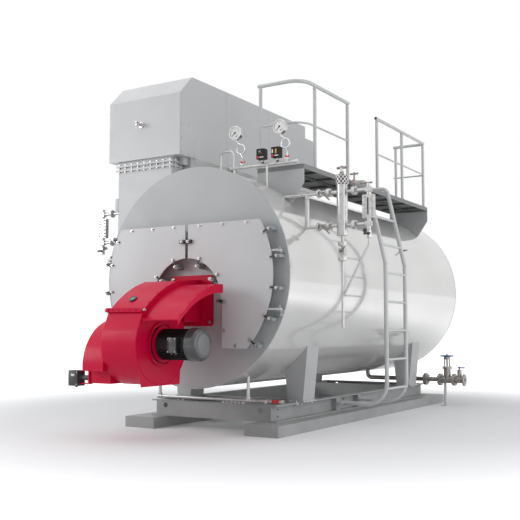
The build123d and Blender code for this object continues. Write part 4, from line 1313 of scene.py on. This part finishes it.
switch_mark(pale_bars, 0.712, 0.726, 2.890, 2.930)
for x, z in cock_caps:
    boss(red_marks, x, 0.440, 0.424, z, 0.010, 0.002)
crossbar(red_marks, *header_band, header_y, header_z, header_band_r, steps=28)
finished("red_signals", red_marks, signal_red)
finished("green_signals", green_marks, signal_green)
finished("amber_display", amber_marks, signal_amber)
finished("pale_bars", pale_bars, pale_mark)


# Drain header and manifold fittings: screwed sockets, unions and cocks in stainless steel,
# turned from bar, where a branch leaves or a run ends.
manifold_y = 0.455
manifold_z = 2.788
cock_xs = (0.310, 0.862)
switch_xs = (0.568, 0.750)
socket_xs = (0.165, 0.210, 0.620, 0.975) + cock_xs + switch_xs
socket_half = 0.017
socket_r = 0.0195
tee_xs = (-0.655, 0.487)
tee_half = 0.032
tee_r = 0.0225
tee_high = 0.368
union_xs = (0.705, 0.893, -0.670)
union_half = 0.012
union_r = 0.0215
cock_nut = (2.862, 2.884)
cock_nut_r = 0.015
dial_nut = (3.084, 3.104)
dial_nut_r = 0.013
switch_nut = (2.818, 2.842)
switch_nut_r = 0.018
vent_x = 0.030
vent_socket = (2.745, 2.775)
vent_socket_r = 0.024
fittings = bmesh.new()
for x in tee_xs:
    crossbar(fittings, x - tee_half, x + tee_half, header_y, header_z, tee_r, 0.003)
    upright(fittings, x, header_y, header_z, tee_high, tee_r, 0.003)
for x in union_xs:
    crossbar(fittings, x - union_half, x + union_half, header_y, header_z, union_r, 0.002, 6)
cock_foot = at(union_xs[0], header_y, header_z)
rod(fittings, cock_foot, cock_foot + Vector((0, -0.030, -0.024)), 0.012, 0.002)
for x in socket_xs:
    crossbar(fittings, x - socket_half, x + socket_half, manifold_y, manifold_z, socket_r, 0.002, 8)
for x in cock_xs:
    upright(fittings, x, manifold_y, *cock_nut, cock_nut_r, 0.002, 6)
for x, _, _ in dials:
    upright(fittings, x, manifold_y, *dial_nut, dial_nut_r, 0.002, 6)
for x in switch_xs:
    upright(fittings, x, manifold_y, *switch_nut, switch_nut_r, 0.002, 6)
upright(fittings, vent_x, manifold_y, *vent_socket, vent_socket_r, 0.003)
finished("pipe_fittings", fittings, stainless)


# Blowdown line: cast steel valves bolted between round flanges, with a blue pressed
# handwheel and a blue lever, on a post that stands on the floor.
cast_steel = plated(
    "cast_steel", (0.26, 0.24, 0.225), (0.38, 0.355, 0.335), 0.38, 70.0, 0.12, metallic=0.6,
)
dress(("blowdown_pipe", "gate_valve", "quick_valve"), cast_steel)
wheel_paint = sprayed("wheel_paint", (0.020, 0.075, 0.26), (0.030, 0.095, 0.31), 0.32, coat=0.3)
dress(("gate_handwheel", "quick_lever"), wheel_paint)
blow_y = 4.350
blow_z = 0.360
gate_x = 1.205
blow_flanges = ((0.875, 0.915), (1.085, 1.125), (1.285, 1.325))
flange_nut_r = 0.0625
bonnet_nut_r = 0.056
bonnet_z = 0.530
spindle_nut = (0.7005, 0.709)
thread_r = 0.0112
thread_pitch = 0.006
thread_low = 0.560
thread_count = 14
thread_wire_r = 0.0014
blow_nuts = []
for left, right in blow_flanges:
    for y, z in around(4, flange_nut_r, quarter):
        blow_nuts.append((at(left, blow_y + y, blow_z + z), leftward))
        blow_nuts.append((at(right, blow_y + y, blow_z + z), rightward))
for x, y in around(4, bonnet_nut_r, quarter):
    blow_nuts.append((at(gate_x + x, blow_y + y, bonnet_z), upward))
bolts("blowdown_nuts", blow_nuts, zinc_bolts, across=0.017, stud=0.4)
spindle = bmesh.new()
upright(spindle, gate_x, blow_y, *spindle_nut, 0.017, 0.002, 6)
for step in range(thread_count):
    z = thread_low + thread_pitch * step
    ridge = [at(gate_x + x, blow_y + y, z) for x, y in around(16, thread_r)]
    pipe(spindle, ridge, thread_wire_r, 5, closed=True)
finished("spindle_thread", spindle, zinc, smooth=60)
